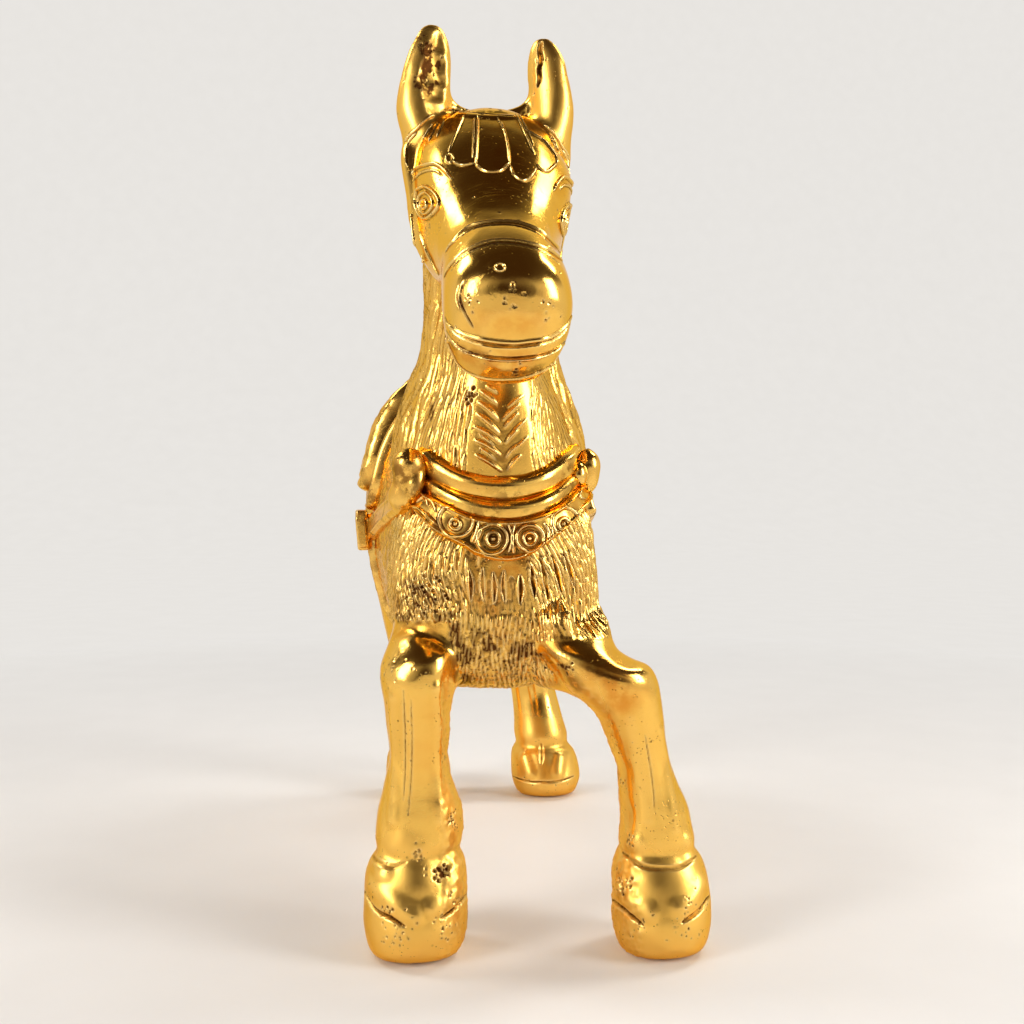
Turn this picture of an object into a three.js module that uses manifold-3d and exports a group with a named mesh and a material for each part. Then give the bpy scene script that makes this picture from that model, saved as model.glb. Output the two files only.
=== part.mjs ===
// Gilt cast-metal horse figurine, standing, with bridle, breast harness and saddle.
// Millimetres, +Z up. The horse faces -Y, so its right side is -X. The origin is the
// middle of the footprint, on the surface that the hooves stand on.
//
// The figure is brazed together from castings: a hollow trunk in two halves, a hollow neck,
// the head with two ears, four solid legs and a tail whose pegs enter the trunk, and harness
// pieces that lie on the body. Every body form is a loft through oval sections, and a piece that
// lies on another is cut to the form of the one below it, grown by the seam.
import * as THREE from "three";
import Module from "manifold-3d";
import { mergeVertices } from "three/addons/utils/BufferGeometryUtils.js";

const wasm = await Module();
wasm.setup();

// Joints between castings
const seam = 0.3;
const shellWall = 2.2;
const pegRadius = 2.6;
const pegClearance = 0.3;
const pegReach = 6;

// Trunk
const trunkFront = -6;
const trunkLength = 98;
const trunkRear = trunkFront + trunkLength;
const trunkWidth = 38;
const bellyHeight = 39.4;
const backHeight = 93.4;

// Neck, from the shoulders up to the poll
const neckSetback = 25;
const neckSink = 25.2;
const neckBaseY = trunkFront + neckSetback;
const neckBaseZ = backHeight - neckSink;
const neckHeight = 58;
const neckForward = 13.5;
const neckWidth = 31;
const neckDepth = 38;
const headShift = -1.8;

// Head, measured along the face from the poll to the lips
const headLength = 53;
const headWidth = 25.6;
const headDepth = 24;
const headTilt = 41;
const headTurn = -1.5;
const pollRise = 3;
const pollY = neckBaseY - neckForward;
const pollZ = neckBaseZ + neckHeight + pollRise;
const nosebandWidth = 4.8;
const nosebandRise = 0.35;
const nosebandPlace = 0.775;
const eyePlace = 0.45;
const eyeOut = 0.42;
const eyeUp = 0.12;
const eyeSlant = 0.25;
const eyeRadius = 2.2;
const eyeRise = 0.7;
const pupilRadius = 0.8;
const mouthGap = 0.6;
const mouthDrop = 3.2;
const nostrilLength = 4.2;
const nostrilWidth = 1.1;

// Forelock: petals that fan out over the forehead, measured like the head
const petals = 4;
const petalTop = 6.8;
const petalLength = 18;
const petalWidth = 4.4;
const petalTaper = 0.52;
const petalGap = 0.35;
const petalRise = 0.45;
const forelockShift = 1;

// Ears: the side each stands on, how far its opening turns inwards, and its size
const earHeight = 21.8;
const earSink = 4.2;
const earBaseZ = pollZ - earSink;
const earSpread = 9.8;
const earWidth = 8.5;
const earDepth = 5.6;
const earHollow = 1.6;
const earRootY = 0.6;
const earLean = 1.6;
const ears = {
  ear_right: { side: -1, turn: 0.26, size: 1 },
  ear_left: { side: 1, turn: 0.6, size: 0.94 },
};

// Mane
const maneThickness = 1.6;
const crestRise = 2.6;
const crestWidth = 6;
const maneHemRise = 4.8;
const maneLocks = 6;
const maneFront = -8;
const lockWidth = 7;
const lockDrop = 5;
const lockRise = 0.6;
const throatWidth = 19;

// Legs: the middle of each hoof on the ground, from the trunk's front or rear end, how far out
// the leg enters the trunk as a share of its width, and how stout it is
const hoofWidth = 16.4;
const foreLegHeight = 58;
const hindLegSink = 11.4;
const hindLegHeight = backHeight - hindLegSink;
const legWeb = 0.13;
const legs = {
  foreleg_right: { foot: [-13.4, 7.2], root: -0.31, stout: 1, hind: false },
  foreleg_left: { foot: [25.6, 3], root: 0.337, stout: 0.94, hind: false },
  hindleg_right: { foot: [-7, 5], root: -0.28, stout: 0.93, hind: true },
  hindleg_left: { foot: [23.5, 3.6], root: 0.28, stout: 0.99, hind: true },
};

// Tail
const tailRootY = trunkRear - 6;
const tailRootZ = backHeight - 7.4;
const tailReach = 15;
const tailDrop = 58;
const tailRadius = 4.3;
const tailLocks = 5;
const tailLockDepth = 0.14;
const tailTwist = 2.2;

// Breast harness: each roll lies in a plane that rises towards the rear and bends up towards the
// bosses, and the band lies between two curves that rise towards the sides
const collarHeight = 73.7;
const collarSlope = 0.21;
const collarMiddle = trunkFront + 16;
const collarCurve = 0.037;
const collarLift = 4.2;
const bossTurn = 66;
const collarSpread = bossTurn + 6;
const upperRoll = { drop: 0, tall: 1.8, deep: 2.2 };
const lowerRoll = { drop: 3.3, tall: 1.45, deep: 1.7 };
const bandDrop = 5;
const bandTall = 6.3;
const bandTop = collarHeight - bandDrop;
const bandBottom = bandTop - bandTall;
const maneHem = collarHeight + maneHemRise;
const bandTopCurve = 0.034;
const bandBottomCurve = 0.053;
const bandThickness = 1.1;
const bandReach = 13.3;
const rosetteRise = 0.7;
const rosettes = [
  [2.85, 2.3],
  [8.1, 1.85],
];
const bossTall = 9.4;
const bossWide = 5.6;
const bossRise = 1.5;
const bossHeight = collarHeight + bossRise;
const bossOut = 0.7;
const strapWidth = 4;

// Saddle, its cloth and the girth
const clothThickness = 1.1;
const clothSetback = 14;
const clothFront = neckBaseY + clothSetback;
const clothLength = 34;
const clothHem = 69.5;
const clothCorner = 6;
const clothBorder = 3;
const saddleThickness = 1.9;
const saddleFront = clothFront + clothBorder;
const saddleRear = clothFront + clothLength - clothBorder;
const saddleHem = clothHem + clothBorder;
const pommelRise = 1.8;
const cantleRise = 2.4;
const pommelLength = 6;
const cantleLength = 7;
const girthSetback = 7;
const girthY = saddleFront + girthSetback;
const girthWidth = 5;
const girthThickness = 1;
const buckleTop = clothHem - seam;
const buckleTall = 7.4;
const buckleWide = 8;
const buckleThickness = 1.9;
const buckleBar = 1.4;

// Farther than any piece reaches from the origin, for cuts that run right through
const beyond = 2 * (trunkLength + backHeight);

const polished = new THREE.MeshStandardMaterial({ color: 0xd9a036, roughness: 0.16, metalness: 1 });
const chased = new THREE.MeshStandardMaterial({ color: 0xc88f2c, roughness: 0.3, metalness: 1 });

// Rows of a table joined by a smooth curve through each column, at even places.
function smoothRows(rows, steps) {
  const made = [];
  for (let i = 0; i <= steps; i++) {
    const place = (i / steps) * (rows.length - 1);
    const k = Math.min(Math.floor(place), rows.length - 2);
    const t = place - k;
    const before = rows[Math.max(k - 1, 0)];
    const after = rows[Math.min(k + 2, rows.length - 1)];
    made.push(
      rows[k].map((start, column) => {
        const end = rows[k + 1][column];
        const a = before[column];
        const d = after[column];
        const bend = 2 * a - 5 * start + 4 * end - d;
        const twist = 3 * start - a - 3 * end + d;
        return start + 0.5 * t * (end - a + t * (bend + t * twist));
      }),
    );
  }
  return made;
}

// An oval of points: half the width, the reach above and below, and how square each half is.
function oval(sides, half, above, below, fullAbove = 2, fullBelow = 2) {
  const points = [];
  for (let i = 0; i < sides; i++) {
    const angle = (2 * Math.PI * i) / sides;
    const up = Math.sin(angle) >= 0;
    const power = 2 / (up ? fullAbove : fullBelow);
    const swell = (v) => Math.sign(v) * Math.abs(v) ** power;
    points.push([half * swell(Math.cos(angle)), (up ? above : below) * swell(Math.sin(angle))]);
  }
  return points;
}

// The rings of a loft moved out along the normals of its skin; a negative distance moves them in.
// The distance may be a function of the point.
function grow(rings, distance) {
  if (!distance) return rings;
  const reach = typeof distance === "function" ? distance : () => distance;
  const along = new THREE.Vector3();
  const around = new THREE.Vector3();
  return rings.map((ring, i) => {
    const middle = ring.reduce((sum, p) => sum.add(p), new THREE.Vector3()).divideScalar(ring.length);
    const next = rings[Math.min(i + 1, rings.length - 1)];
    const last = rings[Math.max(i - 1, 0)];
    return ring.map((p, j) => {
      along.subVectors(next[j], last[j]);
      around.subVectors(ring[(j + 1) % ring.length], ring[(j + ring.length - 1) % ring.length]);
      const normal = new THREE.Vector3().crossVectors(along, around).normalize();
      if (normal.dot(new THREE.Vector3().subVectors(p, middle)) < 0) normal.negate();
      return p.clone().addScaledVector(normal, reach(p));
    });
  });
}

// A geometry with shared vertices as a solid, turned so that its faces point out.
function toSolid(geometry) {
  const bare = geometry.clone();
  bare.deleteAttribute("normal");
  bare.deleteAttribute("uv");
  const merged = mergeVertices(bare, 1e-4);
  const triVerts = new Uint32Array(merged.index.array);
  const vertProperties = new Float32Array(merged.attributes.position.array);
  const build = () => new wasm.Manifold(new wasm.Mesh({ numProp: 3, vertProperties, triVerts }));
  let solid = build();
  if (solid.volume() < 0) {
    for (let i = 0; i < triVerts.length; i += 3) {
      [triVerts[i + 1], triVerts[i + 2]] = [triVerts[i + 2], triVerts[i + 1]];
    }
    solid = build();
  }
  return solid;
}

// A closed skin through rings with equal numbers of points, with a fan over each end.
function loft(rings) {
  const count = rings[0].length;
  const positions = rings.flat().flatMap((p) => [p.x, p.y, p.z]);
  const triangles = [];
  for (let i = 0; i < rings.length - 1; i++) {
    for (let j = 0; j < count; j++) {
      const a = i * count + j;
      const b = i * count + ((j + 1) % count);
      triangles.push(a, b, b + count, a, b + count, a + count);
    }
  }
  for (const [ring, start, turn] of [
    [rings[0], 0, 1],
    [rings.at(-1), (rings.length - 1) * count, 0],
  ]) {
    const middle = ring.reduce((sum, p) => sum.add(p), new THREE.Vector3()).divideScalar(count);
    const pole = positions.length / 3;
    positions.push(middle.x, middle.y, middle.z);
    for (let j = 0; j < count; j++) {
      const a = start + j;
      const b = start + ((j + 1) % count);
      triangles.push(pole, turn ? b : a, turn ? a : b);
    }
  }
  const geometry = new THREE.BufferGeometry();
  geometry.setAttribute("position", new THREE.Float32BufferAttribute(positions, 3));
  geometry.setIndex(triangles);
  return toSolid(geometry);
}

// Oval rings square to a curve, with two radii for each place along it.
function tubeRings(points, radii, sides) {
  const curve = new THREE.CatmullRomCurve3(points);
  const steps = radii.length - 1;
  const frames = curve.computeFrenetFrames(steps);
  return radii.map(([wide, deep], i) => {
    const centre = curve.getPoint(i / steps);
    return oval(sides, wide, deep, deep).map(([x, y]) =>
      centre
        .clone()
        .addScaledVector(frames.binormals[i], x)
        .addScaledVector(frames.normals[i], y),
    );
  });
}

// A straight bar of round section between two points.
function bar(from, to, radius) {
  const start = new THREE.Vector3(...from);
  const end = new THREE.Vector3(...to);
  const geometry = new THREE.CylinderGeometry(radius, radius, start.distanceTo(end), 16);
  const turn = new THREE.Quaternion().setFromUnitVectors(
    new THREE.Vector3(0, 1, 0),
    end.clone().sub(start).normalize(),
  );
  geometry.applyQuaternion(turn);
  geometry.translate(...start.add(end).divideScalar(2).toArray());
  return toSolid(geometry);
}

function block(x, y, z) {
  const geometry = new THREE.BoxGeometry(x[1] - x[0], y[1] - y[0], z[1] - z[0]);
  geometry.translate((x[0] + x[1]) / 2, (y[0] + y[1]) / 2, (z[0] + z[1]) / 2);
  return toSolid(geometry);
}

// A side view outline, drawn in Y and Z, carried across the figure from one X to another.
function sideProfile(shape, x) {
  const options = { depth: x[1] - x[0], bevelEnabled: false, curveSegments: 6 };
  const geometry = new THREE.ExtrudeGeometry(shape, options);
  const acrossX = new THREE.Matrix4().makeBasis(
    new THREE.Vector3(0, 1, 0),
    new THREE.Vector3(0, 0, 1),
    new THREE.Vector3(1, 0, 0),
  );
  geometry.applyMatrix4(acrossX);
  geometry.translate(x[0], 0, 0);
  return toSolid(geometry);
}

function roundedSide(front, rear, bottom, top, corner) {
  const shape = new THREE.Shape();
  shape.moveTo(front + corner, bottom);
  shape.lineTo(rear - corner, bottom);
  shape.absarc(rear - corner, bottom + corner, corner, -Math.PI / 2, 0);
  shape.lineTo(rear, top);
  shape.lineTo(front, top);
  shape.lineTo(front, bottom + corner);
  shape.absarc(front + corner, bottom + corner, corner, Math.PI, 1.5 * Math.PI);
  return shape;
}

// The span in X of one side of the figure, or of both.
const wholeWidth = [-beyond, beyond];
const sideSpan = (side) => (side > 0 ? [trunkWidth * 0.1, beyond] : [-beyond, -trunkWidth * 0.1]);

// The largest body of a solid, without the slivers that a cut can leave.
function mainBody(solid) {
  const bodies = solid.decompose();
  return bodies.reduce((best, b) => (b.volume() > best.volume() ? b : best), bodies[0]);
}

function geometryOf(solid) {
  const { vertProperties, triVerts } = solid.getMesh();
  const geometry = new THREE.BufferGeometry();
  geometry.setAttribute("position", new THREE.BufferAttribute(new Float32Array(vertProperties), 3));
  geometry.setIndex(new THREE.BufferAttribute(new Uint32Array(triVerts), 1));
  geometry.computeVertexNormals();
  return geometry;
}

// A solid as a mesh that a ray can meet from either side.
function targetOf(solid) {
  return new THREE.Mesh(geometryOf(solid), new THREE.MeshBasicMaterial({ side: THREE.DoubleSide }));
}

function meshOf(name, solid, material) {
  const mesh = new THREE.Mesh(geometryOf(mainBody(solid)), material);
  mesh.name = name;
  return mesh;
}

// Trunk, from the breast to the buttocks: place along it, width, top, bottom and widest height,
// each as a share of the trunk's own length, width and height.
const trunkRows = [
  [0.0, 0.16, 0.46, 0.24, 0.35],
  [0.012, 0.52, 0.6, 0.14, 0.3],
  [0.045, 0.76, 0.72, 0.06, 0.28],
  [0.11, 0.88, 0.86, 0.03, 0.29],
  [0.2, 0.91, 0.97, 0.02, 0.36],
  [0.32, 0.95, 1.0, 0.0, 0.46],
  [0.46, 1.0, 0.985, 0.0, 0.52],
  [0.58, 0.99, 0.97, 0.03, 0.54],
  [0.68, 0.97, 0.985, 0.08, 0.55],
  [0.78, 0.95, 1.0, 0.13, 0.56],
  [0.87, 0.86, 0.98, 0.2, 0.57],
  [0.94, 0.68, 0.9, 0.3, 0.59],
  [0.985, 0.42, 0.79, 0.42, 0.61],
  [1.0, 0.14, 0.69, 0.54, 0.62],
];

function trunkRing([along, width, top, bottom, widest], sides) {
  const tall = backHeight - bellyHeight;
  const y = trunkFront + trunkLength * along;
  const middle = bellyHeight + tall * widest;
  const above = tall * (top - widest);
  const below = tall * (widest - bottom);
  return oval(sides, (trunkWidth * width) / 2, above, below, 2.2, 2.2).map(
    ([x, z]) => new THREE.Vector3(x, y, middle + z),
  );
}

const trunkRings = (distance, steps = 20, sides = 20) =>
  grow(smoothRows(trunkRows, steps).map((row) => trunkRing(row, sides)), distance);

const trunkForm = (distance = 0) => loft(trunkRings(distance));

// Neck: height, reach forward, lean of the section in degrees, and width, front and back reach.
const neckRows = [
  [0.0, 0.0, 27, 1.0, 0.6, 0.46],
  [0.14, 0.19, 26, 0.99, 0.585, 0.46],
  [0.28, 0.36, 24, 0.92, 0.53, 0.455],
  [0.39, 0.48, 21, 0.77, 0.48, 0.44],
  [0.49, 0.59, 18, 0.63, 0.43, 0.42],
  [0.64, 0.74, 12, 0.59, 0.37, 0.385],
  [0.8, 0.88, 5, 0.58, 0.32, 0.345],
  [0.91, 0.96, 0, 0.53, 0.27, 0.29],
  [0.97, 0.99, 0, 0.4, 0.2, 0.2],
  [1.0, 1.0, 0, 0.18, 0.09, 0.1],
];

function neckRing([up, forward, lean, width, front, rear], sides) {
  const tilt = THREE.MathUtils.degToRad(lean);
  const centre = new THREE.Vector3(
    headShift * up * up,
    neckBaseY - neckForward * forward,
    neckBaseZ + neckHeight * up,
  );
  return oval(sides, (neckWidth * width) / 2, neckDepth * rear, neckDepth * front, 2, 2.3).map(
    ([x, b]) => new THREE.Vector3(x, b * Math.cos(tilt), b * Math.sin(tilt)).add(centre),
  );
}

const neckRings = (distance, steps = 14, sides = 20) =>
  grow(smoothRows(neckRows, steps).map((row) => neckRing(row, sides)), distance);
const neckForm = (distance = 0) => loft(neckRings(distance));

// Head, with the nose along -Y and the face up before it is tilted: place, width, top, bottom.
const headRows = [
  [0.0, 0.34, 0.19, 0.22],
  [0.045, 0.66, 0.33, 0.42],
  [0.13, 0.9, 0.41, 0.54],
  [0.24, 1.0, 0.42, 0.6],
  [0.35, 0.98, 0.4, 0.61],
  [0.47, 0.87, 0.36, 0.54],
  [0.59, 0.74, 0.33, 0.43],
  [0.69, 0.68, 0.32, 0.4],
  [0.79, 0.69, 0.335, 0.45],
  [0.89, 0.68, 0.32, 0.49],
  [0.955, 0.57, 0.25, 0.43],
  [1.0, 0.3, 0.12, 0.26],
];

const headPlace = new THREE.Matrix4()
  .makeTranslation(headShift, pollY, pollZ)
  .multiply(new THREE.Matrix4().makeRotationZ(THREE.MathUtils.degToRad(headTurn)))
  .multiply(new THREE.Matrix4().makeRotationX(THREE.MathUtils.degToRad(headTilt)));

function headRing([along, width, top, bottom]) {
  return oval(22, (headWidth * width) / 2, headDepth * top, headDepth * bottom, 2.2, 2.5).map(
    ([x, z]) => new THREE.Vector3(x, -headLength * along, z).applyMatrix4(headPlace),
  );
}

const headForm = (distance = 0) => loft(grow(smoothRows(headRows, 18).map(headRing), distance));

// A solid made in the head's own frame, moved onto the head.
function onHead(geometry) {
  geometry.applyMatrix4(headPlace);
  return toSolid(geometry);
}

// Lathe profile of a raised ring round a domed pupil, standing on a disc.
function eyeGeometry() {
  const profile = [
    [0, -eyeRadius * 0.8],
    [eyeRadius, -eyeRadius * 0.8],
    [eyeRadius, eyeRise * 0.5],
    [eyeRadius * 0.82, eyeRise],
    [eyeRadius * 0.62, eyeRise * 0.35],
    [pupilRadius * 1.3, eyeRise * 0.35],
    [pupilRadius * 0.8, eyeRise * 0.9],
    [0, eyeRise],
  ].map(([r, h]) => new THREE.Vector2(r, h));
  return new THREE.LatheGeometry(profile, 16);
}

function makeHead() {
  const slab = new THREE.BoxGeometry(2 * headWidth, nosebandWidth, 3 * headDepth);
  slab.translate(0, -headLength * nosebandPlace, 0);
  let head = headForm().add(headForm(nosebandRise).intersect(onHead(slab)));
  for (const side of [-1, 1]) {
    const eye = eyeGeometry();
    eye.rotateZ(-side * Math.PI * 0.5);
    eye.rotateY(-side * eyeSlant);
    eye.rotateZ(-side * eyeSlant * 0.5);
    eye.scale(1, 1.25, 0.95);
    eye.translate(side * headWidth * eyeOut, -headLength * eyePlace, headDepth * eyeUp);
    head = head.add(onHead(eye));
  }
  for (const side of [-1, 1]) head = head.subtract(nostril(side));
  const mouth = new THREE.BoxGeometry(2 * headWidth, headLength * 0.22, mouthGap);
  mouth.rotateX(-0.3);
  mouth.translate(0, -headLength * 0.97, -mouthDrop);
  return head.add(forelock()).subtract(onHead(mouth).subtract(headForm(-mouthGap * 1.6)));
}

// The comma-shaped hollow at the side of the muzzle.
function nostril(side) {
  const hollow = new THREE.SphereGeometry(1, 10, 8);
  hollow.scale(nostrilWidth / 2, nostrilWidth, nostrilLength / 2);
  hollow.rotateX(0.5);
  hollow.rotateZ(side * 0.6);
  hollow.translate(side * headWidth * 0.232, -headLength * 0.95, headDepth * 0.1);
  return onHead(hollow);
}

// A petal of the forelock, as an outline over the face: a tapered strip with a round lower end.
function petalShape(place) {
  const spread = (share) => (petalWidth * (petalTaper + (1 - petalTaper) * share)) / 2;
  const across = (share) => forelockShift + 2 * place * spread(share);
  const low = petalTop + petalLength - petalWidth * 0.5 - Math.abs(place);
  const shape = new THREE.Shape();
  shape.moveTo(across(0) - spread(0) + petalGap / 2, -petalTop);
  shape.lineTo(across(1) - spread(1) + petalGap / 2, -low);
  shape.quadraticCurveTo(across(1) - spread(1), -low - petalWidth / 2, across(1), -low - petalWidth / 2);
  shape.quadraticCurveTo(
    across(1) + spread(1),
    -low - petalWidth / 2,
    across(1) + spread(1) - petalGap / 2,
    -low,
  );
  shape.lineTo(across(0) + spread(0) - petalGap / 2, -petalTop);
  return shape;
}

function forelock() {
  const options = { depth: headDepth, bevelEnabled: false, curveSegments: 4 };
  const outlines = Array.from({ length: petals }, (_, i) => {
    const geometry = new THREE.ExtrudeGeometry(petalShape(i - (petals - 1) / 2), options);
    return onHead(geometry);
  });
  return headForm(petalRise).intersect(outlines.reduce((all, one) => all.add(one)));
}

// Ear: height, place outwards, width and depth, as shares.
const earRows = [
  [0.0, 0.96, 1.06, 1.75],
  [0.2, 1.05, 0.96, 1.5],
  [0.4, 1.06, 1.0, 1.2],
  [0.6, 1.02, 0.96, 0.95],
  [0.8, 0.95, 0.8, 0.74],
  [0.93, 0.89, 0.56, 0.5],
  [1.0, 0.86, 0.18, 0.18],
];

function earRings({ side, turn, size }, distance) {
  const upright = new THREE.Vector3(0, 0, 1);
  const rings = smoothRows(earRows, 11).map(([up, out, width, depth]) => {
    const centre = new THREE.Vector3(
      headShift + side * earSpread * out,
      earRootY - earLean * up,
      earBaseZ + earHeight * size * up,
    );
    const half = (earDepth * depth) / 2;
    return oval(12, (earWidth * size * width) / 2, half, half).map(([x, y]) =>
      new THREE.Vector3(x, y, 0).applyAxisAngle(upright, -side * turn).add(centre),
    );
  });
  return grow(rings, distance);
}

const earForm = (ear, distance = 0) => loft(earRings(ear, distance));
const bothEars = (distance) =>
  earForm(ears.ear_right, distance).add(earForm(ears.ear_left, distance));

// The hollow in the front of an ear: its own form, thinner and set forward.
function earScoop(ear) {
  const rings = earRings(ear, -earHollow).slice(3, -2);
  const upright = new THREE.Vector3(0, 0, 1);
  const shift = new THREE.Vector3(0, -earDepth / 2, 0).applyAxisAngle(upright, -ear.side * ear.turn);
  return loft(rings.map((ring) => ring.map((p) => p.clone().add(shift))));
}

const makeEar = (ear) => mainBody(earForm(ear).subtract(headForm(seam))).subtract(earScoop(ear));

// Leg sections: height, then half width, front and rear reach as shares of the hoof's width, the
// share of the way across from the foot to the root, and the reach to the rear in hoof widths.
const foreRows = [
  [0.0, 0.36, 0.28, 0.34, 0, 0],
  [0.8, 0.43, 0.42, 0.46, 0, 0],
  [2.6, 0.475, 0.52, 0.51, 0, 0],
  [5.4, 0.505, 0.56, 0.53, 0, 0],
  [9.0, 0.5, 0.53, 0.51, 0, 0],
  [12.6, 0.492, 0.48, 0.48, 0.03, 0],
  [15.0, 0.455, 0.425, 0.44, 0.05, 0],
  [16.5, 0.4, 0.38, 0.39, 0.07, 0],
  [18.4, 0.42, 0.4, 0.41, 0.08, 0],
  [22.6, 0.41, 0.39, 0.41, 0.11, 0],
  [26.6, 0.345, 0.345, 0.34, 0.19, -0.03],
  [31.5, 0.303, 0.32, 0.315, 0.28, -0.07],
  [37.6, 0.355, 0.35, 0.38, 0.4, -0.13],
  [43.0, 0.385, 0.4, 0.5, 0.54, -0.17],
  [46.6, 0.38, 0.4, 0.68, 0.72, -0.14],
  [49.6, 0.345, 0.34, 0.75, 0.98, -0.04],
  [52.6, 0.28, 0.2, 0.7, 1, 0.14],
  [55.6, 0.2, 0.11, 0.5, 1, 0.36],
  [58.0, 0.08, 0.06, 0.2, 1, 0.48],
];
const hindRows = [
  [0.0, 0.36, 0.28, 0.34, 0, 0],
  [0.8, 0.43, 0.42, 0.46, 0, 0],
  [2.4, 0.475, 0.52, 0.51, 0, 0],
  [4.6, 0.505, 0.55, 0.53, 0, 0],
  [7.6, 0.495, 0.51, 0.51, 0.02, 0],
  [10.4, 0.46, 0.45, 0.47, 0.05, 0],
  [12.2, 0.38, 0.37, 0.4, 0.07, 0],
  [14.4, 0.39, 0.39, 0.42, 0.09, 0],
  [18.5, 0.355, 0.36, 0.4, 0.14, 0.02],
  [24.0, 0.325, 0.33, 0.35, 0.22, 0.04],
  [29.5, 0.325, 0.34, 0.38, 0.31, 0.04],
  [34.0, 0.35, 0.39, 0.48, 0.39, 0.0],
  [38.5, 0.37, 0.43, 0.56, 0.46, -0.13],
  [43.5, 0.39, 0.5, 0.54, 0.55, -0.4],
  [50.0, 0.45, 0.65, 0.58, 0.68, -0.78],
  [57.0, 0.53, 0.78, 0.68, 0.8, -1.07],
  [64.5, 0.57, 0.86, 0.84, 0.9, -1.26],
  [71.0, 0.54, 0.82, 0.84, 0.97, -1.34],
  [76.5, 0.44, 0.68, 0.7, 1, -1.36],
  [80.4, 0.28, 0.44, 0.46, 1, -1.38],
  [82.0, 0.1, 0.16, 0.16, 1, -1.38],
];

// A leg's own measures: its rows, where its foot stands and where it enters the trunk.
function legMeasures({ foot, root, hind }) {
  const rows = hind ? hindRows : foreRows;
  return {
    rows,
    stretch: (hind ? hindLegHeight : foreLegHeight) / rows.at(-1)[0],
    footX: foot[0],
    footY: (hind ? trunkRear : trunkFront) + foot[1],
    splay: trunkWidth * root - foot[0],
  };
}

function legRings(leg, distance) {
  const { rows, stretch, footX, footY, splay } = legMeasures(leg);
  const size = hoofWidth * leg.stout;
  const steps = Math.round(rows.length * 1.2);
  const rings = smoothRows(rows, steps).map(([z, half, front, rear, across, along]) => {
    const web = legWeb * splay * THREE.MathUtils.smoothstep(across, 0.38, 0.56);
    const x = footX + splay * across + web;
    const y = footY + hoofWidth * along;
    return oval(14, size * half + Math.abs(web), size * rear, size * front, 2.1, 2.2).map(
      ([a, b]) => new THREE.Vector3(x + a, y + b, z * stretch),
    );
  });
  return grow(rings, distance);
}

const legForm = (leg, distance = 0) => loft(legRings(leg, distance));

// The peg runs from inside the leg, through the trunk's wall, towards the middle of the trunk.
function pegEnds(leg) {
  const rings = legRings(leg, 0);
  const root = rings[Math.round(rings.length * (leg.hind ? 0.74 : 0.72))];
  const start = root.reduce((sum, p) => sum.add(p), new THREE.Vector3()).divideScalar(root.length);
  const middle = new THREE.Vector3(0, start.y + pegReach, (bellyHeight + backHeight) / 2);
  if (leg.hind) middle.y = start.y - pegReach;
  const way = middle.clone().sub(start).normalize();
  const ray = new THREE.Raycaster(middle, way.clone().negate());
  const wall = ray.intersectObject(trunkTarget)[0].point;
  return { start, end: wall.addScaledVector(way, shellWall + pegReach) };
}

const trunkTarget = targetOf(trunkForm());

function legPeg(leg, clearance = 0) {
  const { start, end } = pegEnds(leg);
  const spare = end.clone().sub(start).normalize().multiplyScalar(clearance);
  return bar(start.toArray(), end.clone().add(spare).toArray(), pegRadius + clearance);
}

function makeLeg(leg) {
  return mainBody(legForm(leg).subtract(trunkForm(seam))).add(legPeg(leg));
}

// Tail: a curve that leaves the croup, bends down and falls, thick in the middle.
const tailRows = [
  [-0.25, -0.01, 0.62],
  [0.1, 0.03, 0.72],
  [0.55, 0.035, 0.84],
  [0.88, -0.08, 0.95],
  [1.0, -0.3, 1.05],
  [0.98, -0.55, 1.05],
  [0.97, -0.78, 0.8],
  [1.05, -1.0, 0.18],
];

function tailRings(distance) {
  const path = tailRows.map(
    ([along, up]) => new THREE.Vector3(0, tailRootY + tailReach * along, tailRootZ + tailDrop * up),
  );
  const radii = smoothRows(tailRows, 20).map(([, , swell]) => [
    tailRadius * swell * 1.1,
    tailRadius * swell,
  ]);
  const rings = tubeRings(path, radii, 20).map((ring, i, all) => {
    const middle = ring.reduce((sum, p) => sum.add(p), new THREE.Vector3()).divideScalar(ring.length);
    return ring.map((p, j) => {
      const turn = (2 * Math.PI * tailLocks * j) / ring.length + (tailTwist * Math.PI * i) / all.length;
      return p.clone().lerp(middle, (tailLockDepth * (1 + Math.cos(turn))) / 2);
    });
  });
  return grow(rings, distance);
}

const tailForm = (distance = 0) => loft(tailRings(distance));
const tailPeg = (clearance = 0) =>
  bar(
    [0, tailRootY + pegRadius, tailRootZ + 1],
    [0, tailRootY - pegReach - shellWall - clearance, tailRootZ - 3],
    pegRadius * 0.75 + clearance,
  );
const makeTail = () => mainBody(tailForm().subtract(trunkForm(seam))).add(tailPeg());

// Half of the trunk's shell, with the bores for the pegs.
function makeTrunkHalf(side) {
  const cavity = loft(trunkRings(-shellWall, 12, 12).slice(2, -2));
  const half = block(
    side > 0 ? [seam / 2, beyond] : [-beyond, -seam / 2],
    [-beyond, beyond],
    [-beyond, beyond],
  );
  let shell = trunkForm().subtract(cavity).intersect(half);
  for (const leg of Object.values(legs)) shell = shell.subtract(legPeg(leg, pegClearance));
  return shell.subtract(tailPeg(pegClearance));
}

function makeNeck() {
  const cavity = loft(neckRings(-shellWall, 8, 12).slice(0, -2));
  return mainBody(neckForm().subtract(trunkForm(seam)).subtract(headForm(seam))).subtract(cavity);
}

// The body that the harness lies on, grown by a distance, and the same as a mesh to aim at.
const bodyForm = (distance = 0) => neckForm(distance).add(trunkForm(distance));
const bodyTarget = targetOf(bodyForm(seam));

// Where a line from inside the body leaves it, and the way out there.
function bodySpot(start, way) {
  const hit = new THREE.Raycaster(start, way).intersectObject(bodyTarget).at(-1);
  return { point: hit.point, out: hit.face.normal.clone() };
}

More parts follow.
